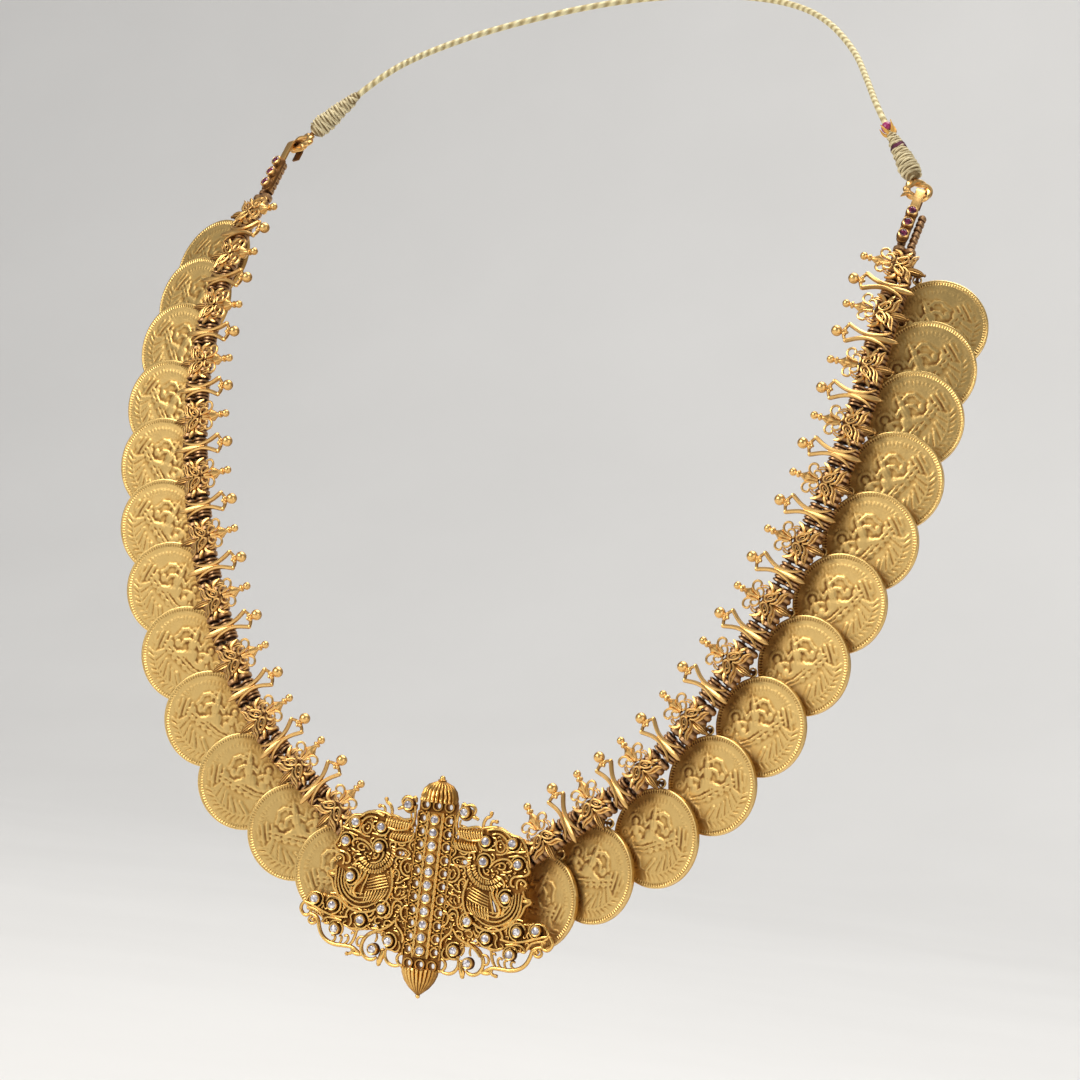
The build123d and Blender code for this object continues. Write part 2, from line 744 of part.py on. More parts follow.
with BuildPart() as stone_bar:
    with BuildSketch(bar_plane.offset(-bar_thickness)):
        SlotOverall(bar_length, bar_width)
    extrude(amount=bar_thickness)
    with BuildSketch(bar_plane.offset(-overlap)):
        with Locations(*bezel_places):
            Circle(bezel_diameter / 2 + 0.1)
    extrude(amount=overlap + bezel_height)
    with BuildSketch(bar_plane.offset(bezel_height)):
        with Locations(*bezel_places):
            Circle(stone_diameter / 2 + stone_gap)
    extrude(amount=-stone_seat_depth, mode=Mode.SUBTRACT)
    for row in rows:
        start, direction, length = tube_run(row, len(corners[row]) - 2)
        rod(start, direction, length + 0.5, tube_diameter)
        rod(start - direction, direction, length + 1.2, string_bore, Mode.SUBTRACT)
    side_plane = Plane(origin=bar_plane.origin, x_dir=bar_plane.x_dir, z_dir=-bar_plane.y_dir)
    with BuildSketch(side_plane.offset(-strap_width / 2)):
        with BuildLine(mode=Mode.PRIVATE) as strap_line:
            Line((bar_length / 2 - 1.5, strap_centre), (hook_start, strap_centre))
            CenterArc((hook_start, strap_centre - hook_radius), hook_radius, 90, -180)
            hook_end = strap_centre - 2 * hook_radius
            Line((hook_start, hook_end), (hook_start - hook_return, hook_end))
        SlotArc(strap_line.wire(), strap_thickness)
    extrude(amount=strap_width)

write_pair(stone_bar.part, "stone_bar")

with BuildPart() as red_stones:
    for x, y in bezel_places:
        centre = on_plane(bar_plane, x, y, stone_base)
        with Locations(Plane(origin=centre, x_dir=bar_plane.x_dir, z_dir=bar_plane.z_dir).location):
            add(stone.part)
write_pair(red_stones.part, "red_stones")

# Ring that the hook holds, with a shank in the wound cord
winding_axis = Vector(*winding_direction).normalized()
ring_catch = on_plane(bar_plane, hook_start - small_gap, 0, strap_centre - hook_radius)
ring_way = (Vector(*winding_foot) - ring_catch).normalized()
ring_side = (bar_plane.y_dir - ring_way * bar_plane.y_dir.dot(ring_way)).normalized()
ring_centre = ring_catch + ring_way * ring_radius
ring_far = ring_catch + ring_way * (2 * ring_radius)

with BuildPart() as clasp_ring:
    with Locations(Plane(origin=ring_centre, z_dir=ring_way.cross(ring_side)).location):
        Torus(ring_radius, ring_wire / 2)
    rod(ring_far, winding_axis, shank_length, ring_wire)
write_pair(clasp_ring.part, "clasp_ring")

# Wound cord over the end of the back cord and the ring's shank
winding_start = ring_far + winding_axis * (ring_wire / 2 + 2 * small_gap)
winding_end = winding_start + winding_axis * winding_length
winding_plane = Plane(origin=winding_start, z_dir=winding_axis)
across = Plane(origin=winding_start, x_dir=winding_plane.x_dir, z_dir=-winding_plane.y_dir)
# Half widths of the winding as shares of its base width, along shares of its length
winding_outline = [
    (0, 0.36), (0.06, 0.5), (0.22, 0.49), (0.5, 0.41), (0.72, 0.32), (0.76, 0.34), (1, 0.22),
]

with BuildPart() as winding:
    with BuildSketch(across):
        with BuildLine():
            outline = [(w * winding_base, share * winding_length) for share, w in winding_outline]
            Polyline((0, 0), *outline, (0, winding_length), close=True)
        make_face()
    revolve(axis=Axis(winding_start, winding_axis))
    rod(winding_start, winding_axis, shank_length, ring_wire + 2 * bore_gap, Mode.SUBTRACT)
    rod(winding_end, -winding_axis, cord_in_winding + 0.5, cord_diameter + bore_gap, Mode.SUBTRACT)
write_pair(winding.part, "cord_winding")

# Back cord, from one winding round the nape to the other
cord_start = winding_end - winding_axis * cord_in_winding
cord_exit = winding_end + winding_axis * cord_lead
right_points = [cord_start, cord_exit] + [Vector(*point) for point in cord_route]
cord_points = right_points + [Vector(-p.X, p.Y, p.Z) for p in reversed(right_points)]
cord_radii = arc_radii(cord_points)
with BuildPart() as back_cord:
    with BuildLine() as cord_path:
        FilletPolyline(*cord_points, radius=cord_radii)
    with BuildSketch(Plane(origin=cord_start, z_dir=winding_axis)):
        Circle(cord_diameter / 2)
    sweep(path=cord_path.wire())
back_cord.part.label = "back_cord"
write(back_cord.part)
cord_length = cord_path.wire().length
section = pi * cord_diameter**2 / 4
print("cord radii", [round(r, 1) for r in cord_radii])
print("cord runs", [round((b - a).length, 1) for a, b in zip(cord_points, cord_points[1:])])
print("cord length", round(cord_length, 2))
print("cord volume share", back_cord.part.volume / (section * cord_length))

# Red bead on the back cord, on the right only
bead_centre = winding_end + winding_axis * (bead_diameter / 2 + small_gap)
with BuildPart() as cord_bead:
    with Locations(Plane(origin=bead_centre, z_dir=winding_axis).location):
        Sphere(bead_diameter / 2)
    bore_start = bead_centre - winding_axis * bead_diameter
    rod(bore_start, winding_axis, 2 * bead_diameter, cord_diameter + bore_gap, Mode.SUBTRACT)
cord_bead.part.label = "cord_bead"
write(cord_bead.part)
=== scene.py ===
from contextlib import contextmanager
from math import atan2, cos, hypot, pi, radians, sin, sqrt

import bpy
import numpy as np
from mathutils import Matrix, Vector


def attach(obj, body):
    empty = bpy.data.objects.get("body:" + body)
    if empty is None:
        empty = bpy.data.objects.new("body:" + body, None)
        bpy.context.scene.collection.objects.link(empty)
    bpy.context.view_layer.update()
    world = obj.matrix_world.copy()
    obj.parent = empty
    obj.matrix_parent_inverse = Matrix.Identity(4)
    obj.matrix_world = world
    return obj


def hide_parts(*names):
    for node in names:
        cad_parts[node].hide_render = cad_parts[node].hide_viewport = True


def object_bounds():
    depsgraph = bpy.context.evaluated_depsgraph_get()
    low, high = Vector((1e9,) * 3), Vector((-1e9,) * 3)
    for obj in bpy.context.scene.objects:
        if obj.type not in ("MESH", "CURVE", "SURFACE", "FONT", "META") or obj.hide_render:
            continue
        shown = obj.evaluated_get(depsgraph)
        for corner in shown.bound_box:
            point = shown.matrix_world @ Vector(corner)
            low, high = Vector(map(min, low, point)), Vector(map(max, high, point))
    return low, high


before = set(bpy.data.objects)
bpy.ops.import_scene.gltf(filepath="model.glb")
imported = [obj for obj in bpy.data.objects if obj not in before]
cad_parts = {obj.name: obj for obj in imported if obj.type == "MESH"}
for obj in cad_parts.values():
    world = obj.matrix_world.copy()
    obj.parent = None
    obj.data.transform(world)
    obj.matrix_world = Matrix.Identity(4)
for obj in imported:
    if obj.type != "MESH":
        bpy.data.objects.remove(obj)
cad_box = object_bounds()
mm = 0.001
seam_gap = 0.004
plain_back = 0.2

# The necklace faces -Y, with the nape at the origin. Pieces are shaped in millimetres, each
# in its own XY plane with its front towards +Z, and are then set where they belong.


def added(name, data):
    """A new object in the scene."""
    piece = bpy.data.objects.new(name, data)
    bpy.context.scene.collection.objects.link(piece)
    return piece


# Camera
eye = Vector((0.4865, -1.0919, -0.13805))
sight = Vector((-0.430, 0.903, 0.008)).normalized()
eye_right = Vector((0.897, 0.426, 0.115))
eye_right = (eye_right - sight * eye_right.dot(sight)).normalized()
eye_up = eye_right.cross(sight)
camera_data = bpy.data.cameras.new("camera")
camera_data.lens = 174.7
camera_data.sensor_width = 36
camera_data.clip_start = 0.05
camera_data.clip_end = 20
camera = added("camera", camera_data)
turned = Matrix((eye_right, eye_up, -sight)).transposed()
camera.matrix_world = Matrix.Translation(eye) @ turned.to_4x4()
bpy.context.scene.camera = camera

# Route of the chain: x, y, z, turn, lift, one row for every second link
chain_route = [
    (23.4, -103.9, -189.4, -5, 6),
    (43.6, -103.7, -172.6, -3, 6),
    (59.2, -100.9, -148.8, 0, 8.5),
    (69.6, -96.7, -123.4, 5, 11),
    (75.2, -91.2, -98.2, 12, 16),
    (76.2, -82.9, -73.9, 19, 22),
    (76.0, -68.7, -53.6, 25, 27),
]
cord_route = [(53.5, -45.5, -22.5), (43, -30, -13.8), (26.5, -11, -4.5), (9.5, 0.85, 0)]
links_per_side = 12
bar_station = 5.95
small_gap = 0.3
tube_radius = 1.15
tube_back = 1.5
tube_gap = 0.35
upper_row = 1.3
lower_row = 4.1
pillar_tube = 4.6
bar_upper_row = 0.2
bar_row_pitch = 1.9 * tube_radius
coin_radius = 10.4
coin_thickness = 1.1
tab_reach = 1.0
hinge_along = 0.6
hinge_out = 5.9
hinge_back = 3.7
coin_shingle = [9] * 10 + [10, 12]
coin_shift = 0.28
coin_lean = [66, 53, 49, 48, 46, 46, 46, 47, 48, 49, 48, 50]
lug_start = (15.0, -102.7, -197.0)
lug_end = (20.6, -102.15, -193.6)
lug_slope = (0.633, -0.136, -0.761)
bezel_pitch = 3.2
bar_length = 3 * bezel_pitch
bar_thickness = 0.9
bar_width = 2.4
strap_thickness = 0.5
strap_width = 2.0
strap_run = 4.6
hook_radius = 1.6
hook_return = 2.2
ring_radius = 2.4
ring_wire = 1.0
shank_length = 3.5
winding_length = 13.3
winding_base = 4.3
winding_foot = (72.2, -58.3, -43)
winding_direction = (-0.62, 0.27, 0.73)
cord_in_winding = 5.0
cord_lead = 6.0
cord_diameter = 1.4


def between(before, start, end, after, share):
    """One value of a smooth curve from start to end."""
    return 0.5 * (
        2 * start
        + (end - before) * share
        + (2 * before - 5 * start + 4 * end - after) * share**2
        + (3 * start - before - 3 * end + after) * share**3
    )


def route_values(station):
    """Place, turn and lift at a station, counted in rows of the chain route."""
    first, second = chain_route[0], chain_route[1]
    last, previous = chain_route[-1], chain_route[-2]
    rows = [[2 * a - b for a, b in zip(first, second)], *chain_route]
    rows.append([2 * a - b for a, b in zip(last, previous)])
    row = min(int(station), len(chain_route) - 2)
    columns = zip(rows[row], rows[row + 1], rows[row + 2], rows[row + 3])
    return [between(*column, station - row) for column in columns]


def seat(origin, along, front):
    """The place of a piece: its x along the chain and its front outwards."""
    front = Vector(front).normalized()
    along = Vector(along)
    along = (along - front * along.dot(front)).normalized()
    turned = Matrix((along, front.cross(along), front)).transposed()
    return Matrix.Translation(Vector(origin)) @ turned.to_4x4()


def route_seat(station):
    """The place of a piece on the chain."""
    x, y, z, turn, lift = route_values(station)
    reach = 0.02
    ahead = Vector(route_values(station + reach)[:3])
    behind = Vector(route_values(max(station - reach, 0))[:3])
    along = (ahead - behind).normalized()
    turn, lift = radians(turn), radians(lift)
    face = Vector((sin(turn) * cos(lift), -cos(turn) * cos(lift), sin(lift)))
    return seat((x, y, z), along, face - along * face.dot(along))


def way(place, axis):
    """One of a place's own directions, 0 for x, 1 for y, 2 for z."""
    return place.to_3x3().col[axis].copy()


link_seats = [route_seat(i / 2) for i in range(links_per_side)]
pillar_seats = [route_seat(i / 2 + 0.25) for i in range(links_per_side - 1)]
bar_seat = route_seat(bar_station)
to_metres = Matrix.Scale(mm, 4)
to_left = Matrix.Scale(-1, 4, (1, 0, 0))
halves = (("right", Matrix.Identity(4)), ("left", to_left))


def string_corners(row):
    """Corners of one string, from the pendant's lug to the bar of stones."""
    drop = lower_row - upper_row if row == lower_row else 0
    side = Vector(lug_slope).normalized() * drop
    corner_reach = (pillar_tube + tube_gap) / 2
    points = [Vector(lug_start) + side, Vector(lug_end) + side]
    for place in pillar_seats:
        points.append(place @ Vector((-corner_reach, -row, -tube_back)))
        points.append(place @ Vector((corner_reach, -row, -tube_back)))
    bar_row = -bar_upper_row - (bar_row_pitch if row == lower_row else 0)
    points.append(bar_seat @ Vector((-(bar_length + tube_gap) / 2, bar_row, -tube_back)))
    points.append(bar_seat @ Vector((bar_length / 2 - small_gap, bar_row, -tube_back)))
    return points


corners = {row: string_corners(row) for row in (upper_row, lower_row)}


# Mesh helpers
def alone(piece):
    """Make one piece the only selected one."""
    bpy.ops.object.select_all(action="DESELECT")
    piece.select_set(True)
    bpy.context.view_layer.objects.active = piece


@contextmanager
def editing(piece):
    """Edit mode on one piece, all of it selected."""
    alone(piece)
    bpy.ops.object.mode_set(mode="EDIT")
    bpy.ops.mesh.select_all(action="SELECT")
    yield
    bpy.ops.object.mode_set(mode="OBJECT")


def finish_modifiers(piece):
    """Apply every modifier of a piece."""
    alone(piece)
    for modifier in list(piece.modifiers):
        bpy.ops.object.modifier_apply(modifier=modifier.name)


def joined(pieces, name):
    """Join pieces into one."""
    alone(pieces[0])
    for piece in pieces:
        piece.select_set(True)
    bpy.ops.object.join()
    pieces[0].name = name
    return pieces[0]


def settle(piece):
    """Merge a piece's seams and turn its faces outwards."""
    with editing(piece):
        bpy.ops.mesh.remove_doubles(threshold=seam_gap)
        bpy.ops.mesh.normals_make_consistent(inside=False)
    return piece


def moved(piece, place):
    """Move a piece's mesh, and keep its faces outwards."""
    piece.data.transform(place)
    if place.determinant() < 0:
        piece.data.flip_normals()
    return piece


def copy_at(piece, place):
    """A copy of a piece, with its own mesh, in another place."""
    return moved(added("copy", piece.data.copy()), place)


def copies_at(piece, spots, name):
    """Copies of a piece at flat points, joined into one."""
    return joined([copy_at(piece, Matrix.Translation((x, y, 0))) for x, y in spots], name)


def scrap(piece):
    """Remove a piece that was only a pattern for others."""
    bpy.data.objects.remove(piece)


def store_patina_and_shade(mesh, values):
    """Write patina and painted shade on the mesh, from 0 for polished to 1 for dark."""
    layer = mesh.attributes.get("patina_and_shade") or mesh.attributes.new("patina_and_shade", "FLOAT", "POINT")
    layer.data.foreach_set("value", np.asarray(values, np.float32))


def along_y(side, along):
    """A turn that sets a piece's y axis along a direction."""
    return Matrix((side, along, side.cross(along))).transposed().to_4x4()


def shade(piece, near, far, turn_shade=0.5):
    """Store patina and painted shade on a piece: a point is darker the farther back it lies,
    which is partly patina and partly painted shade, and darker where it turns away from the front, which
    is painted shade."""
    mesh = piece.data
    points = np.empty(len(mesh.vertices) * 3)
    mesh.vertices.foreach_get("co", points)
    normals = np.empty(len(mesh.vertices) * 3, np.float32)
    mesh.vertex_normals.foreach_get("vector", normals)
    # Painted shade: the farther back and the more turned away from the front, the darker; recesses also
    # stand for patina
    depth = (near - points[2::3]) / (near - far) + turn_shade * (0.4 - 0.5 * normals[2::3])
    depth = np.where(normals[2::3] < -0.5, plain_back, depth)
    layer = mesh.attributes.get("patina_and_shade")
    if layer:
        grooves = np.zeros(len(mesh.vertices), np.float32)
        layer.data.foreach_get("value", grooves)
        depth = np.maximum(depth, grooves)
    store_patina_and_shade(mesh, np.clip(depth, 0, 1))
    return piece


def lathe(profile, steps):
    """A turned form about the local y axis, from pairs of radius and height."""
    mesh = bpy.data.meshes.new("turned")
    edges = [(i, i + 1) for i in range(len(profile) - 1)]
    mesh.from_pydata([(r, h, 0) for r, h in profile], edges, [])
    piece = added("turned", mesh)
    with editing(piece):
        bpy.ops.mesh.spin(steps=steps, angle=2 * pi, center=(0, 0, 0), axis=(0, 1, 0))
    return settle(piece)


def fluted(piece, ribs, depth):
    """Press narrow flutes along a turned form, with patina and painted shade in their grooves."""
    patina_and_shade_values = []
    for point in piece.data.vertices:
        away = min(hypot(point.co.x, point.co.z) / 0.4, 1)
        groove = away * (0.5 + 0.5 * cos(ribs * atan2(point.co.z, point.co.x))) ** 3
        point.co.x *= 1 - depth * groove
        point.co.z *= 1 - depth * groove
        # Patina and painted shade in the groove
        patina_and_shade_values.append(min(7 * depth, 0.9) * groove)
    store_patina_and_shade(piece.data, patina_and_shade_values)
    return piece


def ball(x, y, z, size, rounds=12):
    """A solid ball of metal."""
    bpy.ops.mesh.primitive_uv_sphere_add(
        segments=rounds, ring_count=max(rounds // 2, 4), radius=size, location=(x, y, z)
    )
    piece = bpy.context.object
    bpy.ops.object.transform_apply(location=True, rotation=False, scale=False)
    return piece


def grain(points, size):
    """Small round grains soldered at the points."""
    bpy.ops.mesh.primitive_ico_sphere_add(subdivisions=1, radius=size)
    first = bpy.context.object
    grains = [copy_at(first, Matrix.Translation(Vector(point))) for point in points]
    scrap(first)
    return joined(grains, "grains")


def arc(x, y, bend, start, sweep, height=0.0, rise=0.0):
    """Points along an arc, for a bent wire."""
    count = max(int(abs(sweep) / 32), 2)
    points = []
    for i in range(count + 1):
        angle = radians(start + sweep * i / count)
        points.append((x + bend * cos(angle), y + bend * sin(angle), height + rise * i / count))
    return points


def wires(strokes, sides=1, fineness=3):
    """Bent wires as one mesh. A stroke is its points, its radius, and the shares of the
    radius left at its two ends."""
    line = bpy.data.curves.new("wires", "CURVE")
    line.dimensions = "3D"
    line.bevel_depth = 1
    line.bevel_resolution = sides
    line.resolution_u = fineness
    line.use_fill_caps = True
    for points, size, first, last in strokes:
        wire = line.splines.new("BEZIER")
        wire.bezier_points.add(len(points) - 1)
        for i, (knot, point) in enumerate(zip(wire.bezier_points, points)):
            share = i / (len(points) - 1)
            start_fall = (1 - first) * max(1 - 2.2 * share, 0) ** 2
            end_fall = (1 - last) * max(1 - 2.2 * (1 - share), 0) ** 2
            knot.co = Vector(point).to_3d()
            knot.handle_left_type = "AUTO"
            knot.handle_right_type = "AUTO"
            knot.radius = size * (1 - start_fall - end_fall)
    alone(added("wires", line))
    bpy.ops.object.convert(target="MESH")
    piece = bpy.context.object
    for layer in list(piece.data.uv_layers):
        piece.data.uv_layers.remove(layer)
    return piece


def lift(points, height):
    """Flat points at one height."""
    return [(x, y, height) for x, y in points]


def both_sides(piece):
    """A right-hand form with its mirror image."""
    return joined([piece, copy_at(piece, to_left)], piece.name)


def smooth(piece, angle=40):
    """Smooth shading, with sharp edges past an angle."""
    alone(piece)
    bpy.ops.object.shade_smooth_by_angle(angle=radians(angle))
    return piece


def settled_piece(piece, name, material, slot, *nodes):
    """Give a piece its material, and let it stand for CAD nodes. The slot is not used."""
    piece.name = name
    piece.data.name = name
    piece.data.materials.clear()
    piece.data.materials.append(material)
    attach(piece, "root")
    if nodes:
        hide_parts(*nodes)
    return piece


# Materials
class Value:
    """A shader value that Python's own operators work on."""

    def __init__(self, finish, socket):
        self.finish = finish
        self.socket = socket

    def __add__(self, other):
        return self.finish.maths("ADD", self, other)

    def __sub__(self, other):
        return self.finish.maths("SUBTRACT", self, other)

    def __rsub__(self, other):
        return self.finish.maths("SUBTRACT", other, self)

    def __mul__(self, other):
        return self.finish.maths("MULTIPLY", self, other)

    __radd__ = __add__
    __rmul__ = __mul__


class Finish:
    """The nodes of one material."""

    def __init__(self, name):
        self.material = bpy.data.materials.new(name)
        self.material.use_nodes = True
        self.tree = self.material.node_tree
        self.tree.nodes.clear()

    def node(self, kind, inputs=None, output=0, stops=None, **settings):
        """Add a node: its settings first, then the values or links of its sockets."""
        made = self.tree.nodes.new("ShaderNode" + kind)
        for name, setting in settings.items():
            setattr(made, name, setting)
        if stops:
            ramp = made.color_ramp
            while len(ramp.elements) < len(stops):
                ramp.elements.new(0.5)
            for element, (place, colour) in zip(ramp.elements, stops):
                element.position = place
                element.color = (*colour, 1)
        for socket, value in (inputs or {}).items():
            if isinstance(value, Value):
                self.tree.links.new(value.socket, made.inputs[socket])
            else:
                made.inputs[socket].default_value = value
        return Value(self, made.outputs[output]) if made.outputs else None

    def within(self, value):
        """A value kept between 0 and 1."""
        return self.node("Clamp", {"Value": value})

    def maths(self, operation, *values):
        """One step of maths."""
        return self.node("Math", dict(enumerate(values)), operation=operation)

    def patina_and_shade_values(self):
        """The patina and painted shade stored on the mesh."""
        return self.node("Attribute", output="Fac", attribute_name="patina_and_shade")

    def noise(self, scale, detail):
        """Even noise over the piece."""
        spot = self.node("TexCoord", output="Object")
        return self.node("TexNoise", {"Vector": spot, "Scale": scale, "Detail": detail})

    def ramp(self, value, *stops):
        """A colour between stops."""
        return self.node("ValToRGB", {"Fac": value}, stops=stops)

    def bump(self, height, strength, distance):
        """The direction of a finely raised surface."""
        return self.node("Bump", {"Height": height, "Strength": strength, "Distance": distance})

    def close(self, **inputs):
        """The surface shader and the material's output."""
        sockets = {name.replace("_", " "): value for name, value in inputs.items()}
        self.node("OutputMaterial", {"Surface": self.node("BsdfPrincipled", sockets)})
        return self.material


def gold(name, bright, middle, dark, roughness, wear=0.5, pits=0.12, field=None):
    """Antique gold: polished high places, brown patina and painted shade in the recesses, and painted
    shade on sides turned away from the front.
    """
    finish = Finish(name)
    clouds = finish.noise(320.0, 4.0)
    specks = finish.noise(2600.0, 2.0)
    # Stored patina and painted shade, with cloudy wear and fine specks
    depth = finish.patina_and_shade_values() + (clouds - 0.5) * wear + (specks - 0.5) * 0.3
    if field:
        teeth = field(finish)
        # The teeth lighten their tops and darken their gaps: patina and painted shade
        depth = depth - teeth * 0.35
    depth = finish.within(depth)
    colour = finish.ramp(depth, (0.1, bright), (0.46, middle), (0.88, dark))
    rough = finish.within(roughness + depth * 0.28 + (specks - 0.5) * 0.14)
    height = specks * pits + clouds * 0.3
    if field:
        height = height + teeth
    normal = finish.bump(height, 0.5, 0.00012)
    return finish.close(Base_Color=colour, Metallic=1.0, Roughness=rough, Normal=normal)


tooth_count = 104
tooth_start = 0.895
tooth_end = 0.968


def denticles(finish):
    """The fine teeth inside a coin's rim, from the coin's own map."""
    x = finish.node("SeparateXYZ", {"Vector": finish.node("UVMap", uv_map="struck")})
    y = Value(finish, x.socket.node.outputs[1])
    x, y = x * 2 - 1, y * 2 - 1
    reach = finish.maths("SQRT", x * x + y * y)
    teeth = finish.maths("SINE", finish.maths("ARCTAN2", y, x) * tooth_count)
    past_start = finish.maths("GREATER_THAN", reach, tooth_start)
    before_end = finish.maths("LESS_THAN", reach, tooth_end)
    return teeth * past_start * before_end * 0.8


brown_gold = (0.085, 0.033, 0.011)
coin_finish = gold(
    "struck_coin_gold", (0.8, 0.55, 0.205), (0.54, 0.32, 0.095), (0.19, 0.085, 0.027), 0.36,
    wear=0.55, pits=0.32, field=denticles,
)
link_finish = gold("antique_link_gold", (0.9, 0.56, 0.2), (0.52, 0.28, 0.08), (0.12, 0.052, 0.017), 0.33)
pendant_finish = gold("pendant_gold", (0.96, 0.61, 0.19), (0.6, 0.31, 0.07), brown_gold, 0.26)
# The plate's ground: a darker copy of the gold, partly patina and partly painted shade between the raised
# wires
ground_finish = gold(
    "pendant_ground", (0.52, 0.26, 0.06), (0.26, 0.11, 0.025), (0.07, 0.028, 0.01), 0.48,
    wear=1.1, pits=0.6,
)
# A darker copy of the gold for the ribbed tubes that lie behind the ornaments: painted shade
tube_finish = gold(
    "shaded_tube_gold", (0.46, 0.27, 0.13), (0.25, 0.125, 0.058), (0.07, 0.03, 0.015), 0.42, wear=0.8
)
fitting_finish = gold(
    "fitting_gold", (0.92, 0.58, 0.22), (0.62, 0.33, 0.10), (0.2, 0.09, 0.03), 0.3, wear=0.3, pits=0.06
)


def cut_stone(name, light, dark):
    """A cut stone in a closed setting."""
    finish = Finish(name)
    spot = finish.node("TexCoord", output="Object")
    # Painted glints and dark reflections: light and dark spots in the stone's colour
    glints = finish.node("TexVoronoi", {"Vector": spot, "Scale": 1500.0})
    tone = finish.ramp(glints, (0.3, light), (0.7, dark))
    return finish.close(
        Base_Color=tone, Roughness=0.05, Metallic=0.3, Coat_Weight=1.0, Coat_Roughness=0.02
    )


clear_finish = cut_stone("clear_stone", (1.0, 0.98, 1.0), (0.3, 0.28, 0.34))
ruby_finish = cut_stone("red_stone", (0.3, 0.03, 0.1), (0.06, 0.005, 0.025))


def thread(name, light, dark, scale=900.0, gloss=0.55, shine=0.0):
    """Wound thread: fine fibres, with painted shade in the gaps between turns."""
    finish = Finish(name)
    fibres = finish.noise(scale, 4.0)
    tone = finish.ramp(finish.within(finish.patina_and_shade_values() + fibres * 0.7), (0.2, light), (0.95, dark))
    normal = finish.bump(fibres, 0.6, 0.0001)
    return finish.close(
        Base_Color=tone, Roughness=gloss + fibres * 0.2, Metallic=shine, Normal=normal
    )


winding_finish = thread("gold_thread", (0.86, 0.75, 0.47), (0.2, 0.13, 0.045), shine=0.1)
crown_finish = thread("golden_thread_ends", (0.85, 0.5, 0.12), (0.35, 0.17, 0.04), shine=0.5)
magenta_finish = thread("magenta_thread", (0.2, 0.02, 0.08), (0.05, 0.004, 0.02))
bead_finish = thread("magenta_bead", (0.42, 0.04, 0.17), (0.16, 0.01, 0.06), 500.0, 0.16)
string_finish = thread("brown_string", (0.22, 0.12, 0.07), (0.06, 0.03, 0.018))


cord_twist = 520


def cord_thread(name):
    """Twisted cord: a slanting pattern on the cord's own map."""
    finish = Finish(name)
    along = finish.node("SeparateXYZ", {"Vector": finish.node("UVMap")})
    across = Value(finish, along.socket.node.outputs[1])
    twist = finish.maths("SINE", along * cord_twist + across * (2 * pi))
    fibres = finish.noise(1200.0, 3.0)
    # The strands are lighter on their crests and darker in the grooves between them: painted shade
    strand = finish.within(twist * 0.3 + 0.4 + fibres * 0.3)
    tone = finish.ramp(strand, (0.1, (0.34, 0.23, 0.07)), (0.7, (0.86, 0.76, 0.45)))
    normal = finish.bump(twist + fibres * 0.5, 0.8, 0.0002)
    return finish.close(Base_Color=tone, Roughness=0.55, Metallic=0.2, Normal=normal)


cord_finish = cord_thread("twisted_cord_thread")


def floor_finish():
    """Plain pale floor, faintly cloudy."""
    finish = Finish("pale_floor")
    tone = finish.ramp(
        finish.noise(6.0, 3.0), (0.3, (0.78, 0.77, 0.75)), (0.7, (0.81, 0.8, 0.78))
    )
    return finish.close(Base_Color=tone, Roughness=0.75)


# Back cord, first of all, on the route that the CAD model gives it
winding_axis = Vector(winding_direction).normalized()
hook_start = bar_length / 2 + strap_run
strap_centre = -bar_thickness / 2 + strap_thickness / 2 - 0.2
ring_catch = bar_seat @ Vector((hook_start - small_gap, 0, strap_centre - hook_radius))
ring_way = (Vector(winding_foot) - ring_catch).normalized()
bar_up = way(bar_seat, 1)
ring_side = (bar_up - ring_way * bar_up.dot(ring_way)).normalized()
ring_centre = ring_catch + ring_way * ring_radius
ring_far = ring_catch + ring_way * (2 * ring_radius)
winding_start = ring_far + winding_axis * (ring_wire / 2 + 2 * small_gap)
winding_end = winding_start + winding_axis * winding_length
cord_start = winding_end - winding_axis * cord_in_winding
cord_exit = winding_end + winding_axis * cord_lead
right_points = [cord_start, cord_exit] + [Vector(point) for point in cord_route]
cord_points = right_points + [Vector((-p.x, p.y, p.z)) for p in reversed(right_points)]

cord_line = bpy.data.curves.new("twisted_back_cord", "CURVE")
cord_line.dimensions = "3D"
cord_line.bevel_depth = cord_diameter * mm / 2
cord_line.bevel_resolution = 3
cord_line.resolution_u = 24
cord_line.use_fill_caps = True
cord_spline = cord_line.splines.new("NURBS")
cord_spline.points.add(len(cord_points) - 1)
for knot, point in zip(cord_spline.points, cord_points):
    knot.co = (*(point * mm), 1)
cord_spline.order_u = 3
cord_spline.use_endpoint_u = True
back_cord = added("twisted_back_cord", cord_line)
cord_line.materials.append(cord_finish)
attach(back_cord, "root")
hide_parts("back_cord")
tuple(cord_start * mm)

# Coin: a struck disc, its relief raised from the sheet
coin_cells = 82
rim_proud = 0.2
back_hollow = 0.16
field_height = coin_thickness / 2 - rim_proud
field_edge = 9.1
rim_start = 9.9
rim_height = 0.13
edge_start = 10.15
relief_share = 0.58
# Patina and painted shade in the relief's recesses and in the groove inside the rim, and a painted shadow
# of the chain over the coin's upper part
patina_and_shade_passes = 14
patina_and_shade_share = 12
rim_groove = 9.6
groove_width = 0.3
groove_tone = 0.3
chain_shadow = 3.5
back_tone = 0.5
back_field = 0.94


def dome(x, y, centre, size, angle=0.0, height=0.2):
    """Height of a low oval dome."""
    turn = radians(angle)
    dx, dy = x - centre[0], y - centre[1]
    along = (dx * cos(turn) + dy * sin(turn)) / size[0]
    across = (dy * cos(turn) - dx * sin(turn)) / size[1]
    return height * np.clip(1 - along**2 - across**2, 0, 1) ** 0.7


